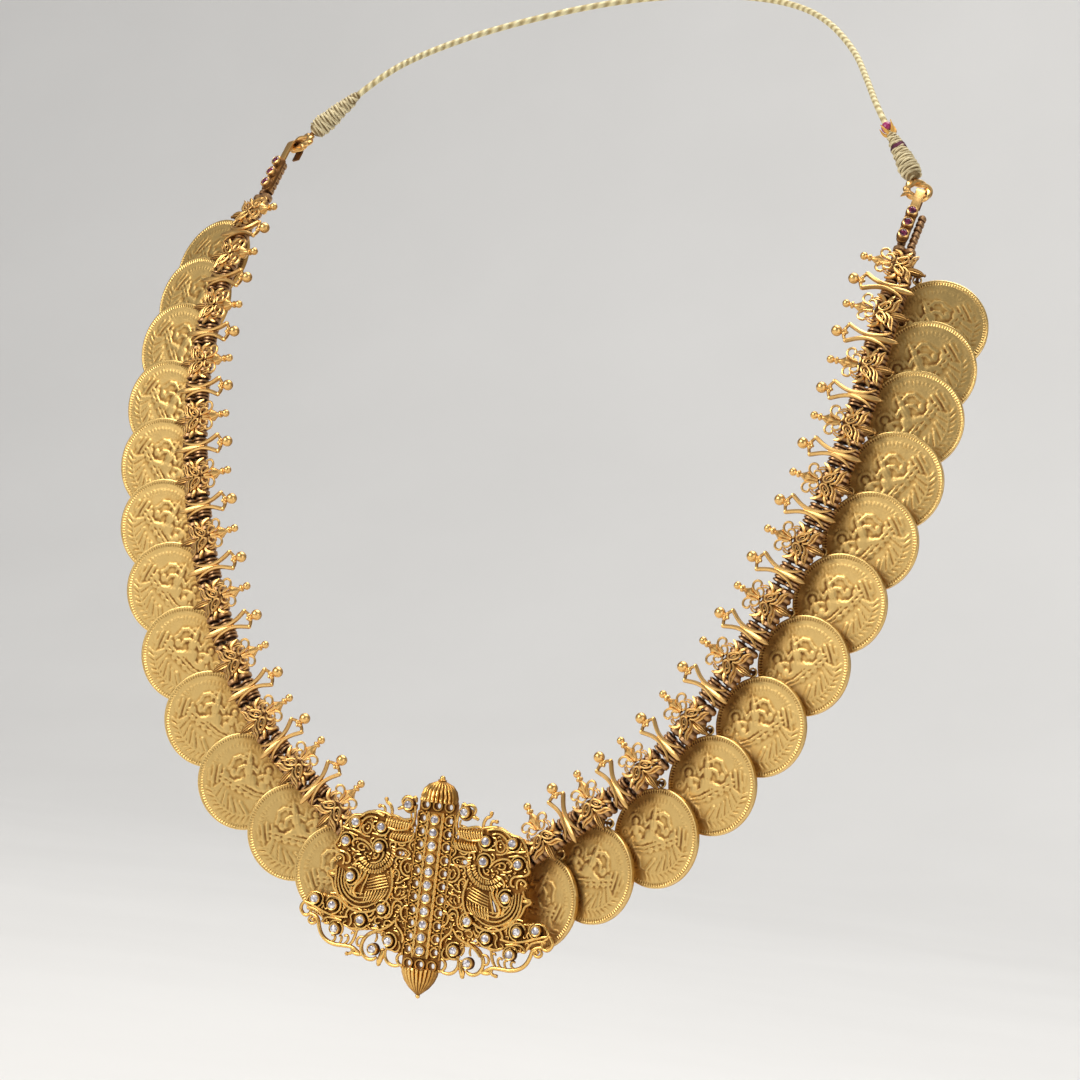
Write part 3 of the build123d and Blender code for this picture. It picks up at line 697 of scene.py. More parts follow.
def ridge(x, y, start, end, width, height=0.15):
    """Height of a rounded ridge from one point to another."""
    run = np.subtract(end, start)
    share = ((x - start[0]) * run[0] + (y - start[1]) * run[1]) / (run @ run)
    share = np.clip(share, 0, 1)
    gap = np.hypot(x - start[0] - share * run[0], y - start[1] - share * run[1])
    return height * np.clip(1 - (gap / width) ** 2, 0, 1) ** 0.7


# Ovals of the seated figure, the attendant, the seat and the rosette: x, y, half sizes,
# angle, height
figure_ovals = [
    (-0.7, 4.5, 0.72, 0.86, 0, 0.3), (-0.7, 5.5, 0.55, 0.42, 0, 0.24), (-0.8, 2.6, 1.15, 1.45, 0, 0.28),
    (-1.3, 0.4, 1.5, 1.7, 10, 0.24), (0.9, -0.3, 2.2, 0.8, -18, 0.26),
    (-2.8, -1.0, 1.8, 0.65, 22, 0.24), (-5.3, 3.0, 0.66, 0.76, 0, 0.24),
    (-5.1, 1.2, 0.85, 1.3, 4, 0.22), (-4.4, -0.7, 0.95, 1.4, -24, 0.2), (2.6, 1.6, 0.7, 0.95, -20, 0.2),
    (4.0, 0.9, 0.55, 0.8, -30, 0.18), (-7.7, 0.5, 0.4, 0.4, 0, 0.2),
]
# Ridges of limbs, drapery, canopy and seat: start, end, half width, height
figure_ridges = [
    (0.1, 4.9, 1.5, 5.3, 0.34, 0.24), (1.5, 5.3, 2.7, 4.7, 0.34, 0.24),
    (2.7, 4.7, 3.0, 3.4, 0.32, 0.24), (3.0, 3.4, 3.6, 2.4, 0.3, 0.2), (0.2, 3.4, 1.4, 2.7, 0.36, 0.26),
    (1.4, 2.7, 1.7, 1.3, 0.3, 0.24), (-1.7, 3.3, -2.7, 2.4, 0.36, 0.26),
    (-2.7, 2.4, -3.3, 3.6, 0.28, 0.22), (-3.3, 3.6, -3.5, 4.6, 0.22, 0.2),
    (-4.4, 1.9, -3.2, 1.3, 0.26, 0.2), (-5.9, 1.7, -6.6, 0.4, 0.24, 0.2),
    (-0.5, 3.8, -0.4, 1.2, 0.16, 0.38), (-1.2, 3.7, -1.3, 1.3, 0.16, 0.38),
    (-2.6, -2.3, 5.4, 0.9, 0.3, 0.24), (-2.4, -3.1, 5.8, 0.1, 0.2, 0.2),
    (-5.6, -2.6, -2.6, -2.3, 0.24, 0.2), (-5.4, -3.3, -2.4, -3.1, 0.18, 0.16),
    (-1.9, 1.2, -2.5, -0.4, 0.18, 0.3), (-1.2, 1.0, -1.5, -0.9, 0.16, 0.3),
    (-0.4, 0.9, -0.3, -0.9, 0.16, 0.3), (0.3, 0.7, 1.2, -0.6, 0.16, 0.3),
    (4.6, 2.0, 4.9, -0.4, 0.3, 0.2), (5.7, 2.6, 6.0, -0.8, 0.3, 0.22), (6.9, 2.4, 7.0, -1.0, 0.3, 0.22),
    (7.9, 1.6, 7.8, -0.6, 0.24, 0.18), (-0.7, 5.8, -0.7, 6.5, 0.2, 0.22),
    (-0.7, 4.5, -0.7, 4.15, 0.12, 0.36), (-0.95, 3.92, -0.45, 3.92, 0.1, 0.33),
    (-1.0, 4.62, -0.88, 4.62, 0.1, 0.33), (-0.52, 4.62, -0.4, 4.62, 0.1, 0.33),
]
# Rings of the rosette and of curled drapery: x, y, radius, half width, height
figure_rings = [
    (-7.7, 0.5, 0.85, 0.3, 0.14), (3.9, -0.2, 0.6, 0.18, 0.18), (2.2, -1.5, 0.4, 0.16, 0.26),
    (0.6, -2.0, 0.4, 0.16, 0.26), (-1.0, -2.6, 0.4, 0.16, 0.26), (3.6, -0.9, 0.4, 0.16, 0.26),
]


def polar(reach, side):
    """A point from its distance and direction in degrees."""
    return reach * cos(radians(side)), reach * sin(radians(side))


def struck(x, y):
    """Height of the coin's relief above its field."""
    parts = [dome(x, y, row[:2], row[2:4], row[4], row[5]) for row in figure_ovals]
    parts += [ridge(x, y, row[:2], row[2:4], row[4], row[5]) for row in figure_ridges]
    for ring_x, ring_y, size, width, height in figure_rings:
        gap = np.abs(np.hypot(x - ring_x, y - ring_y) - size)
        parts.append(height * np.clip(1 - (gap / width) ** 2, 0, 1) ** 0.7)
    for step in range(19):
        side = 22 + 6.4 * step
        parts.append(dome(x, y, polar(7.8, side), (0.55, 0.2), side, 0.17))
        parts.append(dome(x, y, polar(7.1, side + 3.2), (0.2, 0.16), side, 0.12))
    for step in range(11):
        side = -104 + 8.2 * step
        leaf = 0.2 - 0.05 * (step % 3)
        parts.append(ridge(x, y, polar(7.2, side), polar(4.5 + 0.5 * (step % 2), side + 17), 0.36, leaf))
        parts.append(ridge(x, y, polar(7.3, side), polar(8.6, side + 7), 0.26, leaf))
    for step in range(7):
        side = 196 + 8 * step
        parts.append(ridge(x, y, polar(7.2, side), polar(5.6, side - 12), 0.26, 0.2))
        parts.append(ridge(x, y, polar(7.3, side), polar(8.5, side - 6), 0.22, 0.18))
    for step in range(8):
        halo = polar(1.5, -10 + 25 * step), polar(1.5, 15 + 25 * step)
        parts.append(ridge(x + 5.3, y - 3.0, *halo, 0.22, 0.15))
        parts.append(ridge(x + 0.7, y - 4.7, *halo, 0.18, 0.13))
    for step in range(20):
        side = 190 + 8.6 * step
        parts.append(ridge(x, y, polar(7.25, side), polar(7.25, side + 8.6), 0.16, 0.16))
    height = 0.03 * np.sin(0.9 * x + 1.3) * np.sin(0.8 * y + 0.4)
    for part in parts:
        height = np.maximum(height, part)
    return height


def worn(heights, passes):
    """Heights on the coin's square grid, worn smooth."""
    grid = heights.reshape(coin_cells + 1, coin_cells + 1).copy()
    for _ in range(passes):
        around = grid[:-2, 1:-1] + grid[2:, 1:-1] + grid[1:-1, :-2] + grid[1:-1, 2:]
        grid[1:-1, 1:-1] = grid[1:-1, 1:-1] / 2 + around / 8
    return grid.ravel()


def struck_coin():
    """One coin in its own plane, its tab towards +Y and the design upright."""
    bpy.ops.mesh.primitive_grid_add(x_subdivisions=coin_cells, y_subdivisions=coin_cells, size=2)
    coin = bpy.context.object
    mesh = coin.data
    count = len(mesh.vertices)
    points = np.empty(count * 3)
    mesh.vertices.foreach_get("co", points)
    points = points.reshape(-1, 3)
    square_x, square_y = points[:, 0].copy(), points[:, 1].copy()
    x = coin_radius * square_x * np.sqrt(1 - square_y**2 / 2)
    y = coin_radius * square_y * np.sqrt(1 - square_x**2 / 2)
    reach = np.hypot(x, y)
    order = np.lexsort((square_x.round(5), square_y.round(5)))
    relief = np.empty(count)
    relief[order] = worn(np.where(reach < field_edge, struck(x, y), 0)[order], 1)
    rim = np.clip((reach - rim_start) / 0.2, 0, 1) * rim_height
    rounding = np.clip((reach - edge_start) / (coin_radius - edge_start), 0, 1) ** 2 * 0.1
    points[:, 0], points[:, 1] = x, y
    points[:, 2] = field_height + relief * relief_share + rim - rounding
    mesh.vertices.foreach_set("co", points.ravel())
    # Patina and painted shade: darker in the relief's recesses and in the rim's groove
    patina_and_shade = np.empty(count)
    wide = worn(relief[order], patina_and_shade_passes)
    patina_and_shade[order] = np.clip((wide - relief[order]) * patina_and_shade_share, 0, 0.8)
    groove = np.clip(1 - np.abs(reach - rim_groove) / groove_width, 0, 1)
    patina_and_shade = np.maximum(patina_and_shade, groove * groove_tone)
    # Painted shadow of the chain over the coin's upper part
    under_chain = np.clip(((y - x) / sqrt(2) - chain_shadow) / 5, 0, 1)
    store_patina_and_shade(mesh, patina_and_shade + under_chain * 0.5)
    with editing(coin):
        bpy.ops.mesh.region_to_loop()
        bpy.ops.mesh.extrude_region_move(
            TRANSFORM_OT_translate={"value": (0, 0, rim_proud - coin_thickness)}
        )
        bpy.ops.transform.resize(value=(1, 1, 0), center_override=(0, 0, -coin_thickness / 2))
        bpy.ops.mesh.extrude_region_move()
        bpy.ops.transform.resize(value=(back_field, back_field, 1), center_override=(0, 0, 0))
        bpy.ops.mesh.extrude_region_move(TRANSFORM_OT_translate={"value": (0, 0, back_hollow)})
        bpy.ops.mesh.fill()
    layer = mesh.attributes["patina_and_shade"]
    for point, value in zip(mesh.vertices, layer.data):
        if point.co.z < 0:
            value.value = back_tone
    return coin


def mapped(coin):
    """Store the coin's own map, for the teeth inside its rim."""
    layer = coin.data.uv_layers.new(name="struck")
    for loop in coin.data.loops:
        point = coin.data.vertices[loop.vertex_index].co
        layer.data[loop.index].uv = (
            0.5 + 0.5 * point.x / coin_radius,
            0.5 + 0.5 * point.y / coin_radius,
        )


coin_face = smooth(struck_coin(), 55)
mapped(coin_face)
tab_centre = coin_radius + tab_reach
bpy.ops.mesh.primitive_torus_add(
    major_radius=0.86, minor_radius=0.21, major_segments=16, minor_segments=8,
    location=(0, tab_centre, 0),
)
coin_tab = bpy.context.object
bpy.ops.object.transform_apply(location=True, rotation=False, scale=False)
smooth(coin_tab)
shade(coin_tab, 0.3, -0.5)


def coin_seat(number):
    """Where a coin hangs from its link's peg."""
    link = link_seats[number]
    ground = route_seat(max(number / 2 - coin_shift, 0))
    tilt, lean = radians(coin_shingle[number]), radians(coin_lean[number])
    face = way(ground, 2) * cos(tilt) - way(ground, 0) * sin(tilt)
    up = way(link, 0) * sin(lean) + way(link, 1) * cos(lean)
    up = (up - face * up.dot(face)).normalized()
    hinge = link @ Vector((hinge_along, -hinge_out, -hinge_back))
    return seat(hinge - up * (coin_radius + tab_reach), up.cross(face), face)


for side, mirror in halves:
    for number in range(links_per_side):
        coin = joined([copy_at(coin_face, Matrix()), copy_at(coin_tab, Matrix())], "coin")
        moved(coin, to_metres @ mirror @ coin_seat(number))
        label = f"{side}_{number + 1:02d}"
        settled_piece(coin, f"struck_coin_{label}", coin_finish, "coin_gold", f"coin_{label}")
scrap(coin_face)
scrap(coin_tab)

# Flower link
finial_back = 0.7
finial_height = 5.95


def flower():
    """The ornament of one flower link, with the peg that its coin hangs on."""
    curls = [
        (
            [(0.5, 0.3), (0.72, 1.4), (1.1, 2.3), (1.85, 2.8), (2.75, 2.6), (3.1, 1.85), (2.8, 1.2),
             (2.2, 1.15)], 0.3, 0.8, 0.9, 0.3,
        ),
        (
            [(0.3, -0.05), (1.1, -0.25), (1.85, 0.25), (1.9, 1.0), (1.4, 1.45), (0.9, 1.1), (0.85, 0.6)],
            0.28, 0.8, 0.7, 0.28,
        ),
        (
            [(0.2, -2.0), (0.3, -1.2), (0.9, -0.85), (1.55, -1.2), (2.1, -1.9), (2.5, -2.75),
             (1.9, -3.05), (1.1, -2.75), (0.5, -2.2), (0.2, -1.5)], 0.27, 0.8, 0.7, 0.3,
        ),
        ([(0.8, -1.45), (1.2, -1.5), (1.65, -2.1), (1.45, -2.4), (0.95, -1.9)], 0.17, 0.8, 0.8, 0.15),
        (
            [(0.1, -2.5), (0.5, -3.3), (1.3, -3.75), (2.5, -3.85), (3.2, -4.25), (3.8, -4.95)],
            0.29, 0.6, 0.3, 0.15,
        ),
        ([(0.35, -3.4), (0.95, -4.15), (1.8, -4.5), (2.9, -4.6), (3.75, -5.0)], 0.24, 0.6, 0.3, -0.05),
        ([(2.1, 0.95), (2.5, 0.2), (2.55, -0.6)], 0.22, 0.7, 0.6, 0.05),
        ([(2.6, 0.9), (3.0, 0.2), (3.0, -0.5)], 0.22, 0.7, 0.6, -0.05),
    ]
    strokes = [(lift(points, z), 0.92 * size, a, b) for points, size, a, b, z in curls]
    for start in (0.0, 0.28, 0.56):
        strokes.append(
            ([(1.75 + start, -2.1 - start, 0.3), (2.2 + start, -2.4 - start, 0.5),
              (2.5 + start, -2.95 - start * 0.6, 0.25)], 0.15, 0.7, 0.7)
        )
    wire = shade(wires(strokes, sides=2), 0.6, -1.8, 0.3)
    leaves = [
        ([(1.9, -1.5), (2.9, -1.4), (3.6, -0.6), (3.95, 0.35)], 0.5, 0.5, 0.4, -0.2),
        ([(2.2, -2.2), (3.1, -2.5), (3.8, -3.0), (4.4, -3.3)], 0.45, 0.5, 0.3, -0.2),
        ([(0.4, -2.9), (1.5, -3.9), (2.6, -4.2), (3.75, -4.9)], 0.5, 0.5, 0.2, -0.55),
    ]
    strokes = [(lift(points, z), size, a, b) for points, size, a, b, z in leaves]
    leaf = wires(strokes)
    shade(leaf, 0.2, -0.9)
    right = both_sides(joined([wire, leaf], "flower"))
    vase = lathe(
        [(0, 0.1), (0.62, 0.2), (0.64, 1.4), (0.8, 2.0), (1.25, 2.5), (1.32, 2.72), (1.05, 3.05),
         (0.74, 3.5), (0.52, 3.9), (0.42, 4.25)],
        24,
    )
    fluted(vase, 12, 0.05)
    collar = lathe(
        [(0.36, 4.1), (0.42, 4.3), (0.7, 4.38), (0.8, 4.62), (0.74, 4.88), (0.42, 5.0), (0.4, 5.4)], 16
    )
    top = joined([vase, collar, ball(0, finial_height, 0, 0.86, 14)], "vase")
    shade(top, 0.6, -1.6, 0.25)
    moved(top, Matrix.Translation((0, 0, -finial_back + 0.35)))
    bud = lathe(
        [(0, -2.6), (0.35, -2.75), (0.72, -3.6), (0.93, -4.8), (0.92, -5.6), (0.7, -6.5),
         (0.42, -7.0), (0.25, -7.15), (0.36, -7.35), (0.32, -7.55), (0, -7.68)],
        20,
    )
    fluted(bud, 10, 0.2)
    shade(bud, 0.8, -0.2)
    moved(bud, Matrix.Translation((0, 0, -finial_back)))
    hub = lathe([(0, -0.4), (0.95, -0.35), (1.15, 0), (1.0, 0.8), (0.75, 1.2), (0, 1.3)], 14)
    moved(hub, Matrix.Translation((0, -1.2, -1.35)) @ Matrix.Rotation(pi / 2, 4, "X"))
    shade(hub, 1.2, -0.3)
    peg_end = hinge_back + small_gap + 0.75 - finial_back
    peg = lathe(
        [(0, 0.15), (0.35, 0), (0.35, -peg_end + 0.5), (0.6, -peg_end + 0.42), (0.65, -peg_end + 0.2),
         (0.5, -peg_end + 0.02), (0, -peg_end)],
        12,
    )
    moved(peg, Matrix.Rotation(pi / 2, 4, "X"))
    moved(peg, Matrix.Translation((hinge_along, -hinge_out, -finial_back)))
    shade(peg, 0, -1)
    return smooth(joined([right, top, bud, hub, peg], "flower"))


flower_pattern = flower()


def pillar():
    """The ornament of one pillar spacer."""
    strokes = []
    for side in (-1, 1):
        strokes.append(
            ([(1.9 * side, 3.9, -0.1), (1.45 * side, 3.0, -0.1), (0.95 * side, 1.9, -0.05),
              (0.56 * side, 0.6, 0), (0.46 * side, -0.6, 0), (0.66 * side, -2.1, -0.05),
              (1.2 * side, -3.8, -0.12), (2.0 * side, -5.0, -0.2)], 0.47, 1.0, 0.5)
        )
        strokes.append(
            ([(1.85 * side, 3.95, -0.15), (1.3 * side, 4.35, -0.2),
              (0.5 * side, 4.75, -0.25)], 0.36, 0.8, 0.9)
        )
    rods = wires(strokes, sides=2, fineness=4)
    moved(rods, Matrix.Scale(1.3, 4, (0, 0, 1)))
    shade(rods, 0.5, -0.7)
    spear = wires(
        [([(0, 0.6, -0.1), (0, -1.5, -0.05), (0, -3.6, 0), (0, -4.9, 0), (0, -6.2, -0.05),
           (0, -7.0, -0.1)], 0.66, 0.35, 0.08)],
        sides=2, fineness=4,
    )
    moved(spear, Matrix.Scale(0.75, 4, (0, 0, 1)))
    shade(spear, 0.4, -0.5)
    beads = [ball(0, 6.25, -0.35, 1.2, 16), ball(0, 4.1, -0.25, 0.4, 8)]
    for side in (-1, 1):
        beads.append(ball(1.88 * side, 3.95, -0.12, 0.5, 8))
        beads.append(ball(0.48 * side, 4.6, -0.2, 0.52, 10))
    neck = lathe([(0.3, 4.3), (0.5, 4.8), (0.45, 5.0), (0.6, 5.4)], 10)
    moved(neck, Matrix.Translation((0, 0, -0.35)))
    top = joined([*beads, neck], "beads")
    shade(top, 0.3, -1.6, 0.3)
    return smooth(joined([rods, spear, top], "pillar"))


pillar_pattern = pillar()

# One ribbed tube, 1 mm long along +Y, to be stretched between two corners of a string
ribs = 6
profile = [(0.62, 0.0)]
for rib in range(ribs):
    start = rib / ribs
    profile += [(0.9, start + 0.012), (1.14, start + 0.045), (1.14, start + 0.115), (0.93, start + 0.15)]
profile += [(0.9, 0.985), (0.62, 1.0)]
tube_pattern = lathe(profile, 12)
# Patina and painted shade between the ribs, darker the deeper a point lies
store_patina_and_shade(tube_pattern.data, [
    min(max((1.14 - hypot(point.co.x, point.co.z)) * 3.2, 0), 1) for point in tube_pattern.data.vertices
])
smooth(tube_pattern, 50)


def tube_on(row, run, girth=1.0):
    """The ribbed tube round one straight run of a string."""
    start, end = corners[row][run], corners[row][run + 1]
    along = (end - start).normalized()
    length = (end - start).length - tube_gap
    side = along.orthogonal()
    place = Matrix.Translation(start + along * tube_gap / 2) @ along_y(side, along)
    return copy_at(tube_pattern, place @ Matrix.Diagonal((girth, length, girth, 1)))


def dress_chain(side, mirror):
    """The flower links, the pillar spacers and their tubes on one side."""
    flowers = [copy_at(flower_pattern, place) for place in link_seats]
    pillars = [copy_at(pillar_pattern, place) for place in pillar_seats]
    link_tubes = [tube_on(row, 2 * i + 1) for row in corners for i in range(links_per_side)]
    pillar_tubes = [tube_on(row, 2 * i + 2) for row in corners for i in range(links_per_side - 1)]
    for pieces, name, material, slot, nodes in (
        (flowers, "chased_flowers", link_finish, "filigree_gold", ["flower_links"]),
        (pillars, "chased_pillars", link_finish, "filigree_gold", ["pillar_spacers"]),
        (link_tubes + pillar_tubes, "ribbed_tubes", tube_finish, "filigree_gold",
         ["flower_links", "pillar_spacers"]),
    ):
        piece = moved(joined(pieces, name), to_metres @ mirror)
        nodes = [f"{node}_{side}" for node in nodes]
        settled_piece(piece, f"{name}_{side}", material, slot, *nodes)


for side, mirror in halves:
    dress_chain(side, mirror)

# Pendant, shaped in its own plane: its face is at z = 0
pendant_seat = seat((0, -104.5, -203), (1, 0, 0), (0, -1, 0))
plate_thickness = 1.0
stone_pitch = 2.77
first_stone = 12.95
centre_stones = 11
column_offset = 3.15
dome_seat = 16.6
point_seat = 18.4
strip_top = first_stone + 1.5
strip_bottom = first_stone - (centre_stones - 1) * stone_pitch - 1.5
centre_column = [(0, first_stone - stone_pitch * i) for i in range(centre_stones)]
# Stones of the right half
side_stones = [
    (6.6, 15.3), (12.3, 9.9), (18.5, 10.2), (12.3, 5.6), (20.3, 6.0), (18.3, -1.3), (10.1, -7.2),
    (21.8, -7.9), (26.1, -7.1), (14.8, -10.2), (20.7, -12.8), (7.7, -13.7), (11.2, -15.9),
]
# Outlines of the plate's right half
upper_plate = [
    (4, 8.2), (5.6, 12.4), (9.5, 11.9), (12, 12.8), (15, 12.9), (17.6, 11.8), (20, 11.3),
    (21.7, 8.6), (22.6, 5.6), (21, 0), (4, 0),
]
lower_plate = [
    (4, 1), (9, 1), (14, -8), (21, -6.6), (24.4, -6.1), (27.4, -6), (28.4, -8.4), (25, -9.8),
    (23.6, -12), (19, -11.6), (16.8, -12.4), (14, -11.9), (9.6, -12), (8.2, -15.2), (4, -16.4),
]
roundel_centre = (15.2, -1.6)
# Holes of the right half: x, y, half sizes, angle
plate_holes = [
    (7.5, 4.9, 0.9, 0.45, 0), (11.8, -11.0, 0.8, 0.4, 10), (15.3, -3.4, 1.6, 0.4, 115),
    (8.6, 2.9, 0.5, 0.4, 90), (5.2, 10.2, 0.9, 0.4, 80),
]


def prism(outline, front, back):
    """A flat sheet of metal with a given outline."""
    mesh = bpy.data.meshes.new("sheet")
    mesh.from_pydata([(x, y, front) for x, y in outline], [], [list(range(len(outline)))])
    piece = added("sheet", mesh)
    with editing(piece):
        bpy.ops.mesh.extrude_region_move(TRANSFORM_OT_translate={"value": (0, 0, back - front)})
        bpy.ops.mesh.select_all(action="SELECT")
        bpy.ops.mesh.normals_make_consistent(inside=False)
    return piece


def round_outline(x, y, long_radius, short_radius, angle=0, count=20):
    """Outline of a disc or an oval."""
    turn = radians(angle)
    points = []
    for i in range(count):
        side = 2 * pi * i / count
        along, across = long_radius * cos(side), short_radius * sin(side)
        points.append(
            (x + along * cos(turn) - across * sin(turn), y + along * sin(turn) + across * cos(turn))
        )
    return points


def combined(base, others, operation):
    """Join or cut solids with a base."""
    for other in others:
        cutter = base.modifiers.new("with_other", "BOOLEAN")
        cutter.operation = operation
        cutter.object = other
        cutter.solver = "EXACT"
        finish_modifiers(base)
        scrap(other)
    return base


def pierced_plate():
    """The pendant's backing plate with its holes."""
    back = -plate_thickness
    sheet = prism(upper_plate, 0, back)
    roundel = prism(round_outline(*roundel_centre, 7.6, 7.6, 0, 48), -0.01, back)
    combined(sheet, [prism(lower_plate, -0.02, back), roundel], "UNION")
    holes = [prism(round_outline(*hole), 1, back - 1) for hole in plate_holes]
    combined(sheet, holes, "DIFFERENCE")
    sheet = both_sides(sheet)
    top, bottom = dome_seat + 0.1, -point_seat - 0.1
    half = column_offset + 1.2
    middle = prism([(-half, bottom), (half, bottom), (half, top), (-half, top)], 0.01, back)
    spots = [(side * column_offset, y) for x, y in centre_column for side in (-1, 1)]
    spots += [(x, y) for x in (-2.8, 0, 2.8) for y in (first_stone + 2.9, strip_bottom - 1.4)]
    holes = [prism(round_outline(x, y, 0.6, 0.6, 0, 14), 1, back - 1) for x, y in spots]
    combined(middle, [joined(holes, "holes")], "DIFFERENCE")
    return joined([sheet, middle], "plate")


plate = shade(pierced_plate(), 0.6, -1.0)

# Raised arcs of the right half: x, y, radius, start angle, sweep, wire radius, height
raised_arcs = [
    (15.2, -1.6, 6.9, 152, 220, 0.36, 0.4), (15.4, -1.5, 6.0, 228, 148, 0.27, 0.42),
    (15.5, -1.4, 5.15, 238, 138, 0.27, 0.45), (15.7, -1.3, 4.35, 246, 126, 0.26, 0.45),
    (15.9, -1.2, 3.6, 254, 112, 0.25, 0.45), (18.3, -1.3, 1.85, 60, 250, 0.27, 0.45),
    (14.8, -10.2, 1.8, 40, 140, 0.27, 0.4), (14.8, -10.2, 1.8, 210, 120, 0.25, 0.4),
    (21.8, -7.9, 1.85, 20, 250, 0.28, 0.4), (21.8, -7.9, 2.6, 70, 130, 0.26, 0.35),
    (26.1, -7.1, 1.75, 120, 190, 0.25, 0.3), (20.7, -12.8, 1.75, 20, 200, 0.25, 0.25),
    (7.7, -13.7, 1.75, 60, 230, 0.26, 0.35), (10.1, -7.2, 1.8, 60, 240, 0.26, 0.4),
    (12.3, 9.9, 1.75, 120, 200, 0.25, 0.4), (12.3, 5.6, 1.75, -40, 220, 0.25, 0.4),
    (18.5, 10.2, 1.75, 190, 180, 0.25, 0.35), (20.3, 6.0, 1.75, 20, 180, 0.25, 0.35),
    (6.6, 15.3, 1.55, 170, 220, 0.28, -0.1), (6.5, -6.7, 0.75, 0, 300, 0.23, 0.35),
]
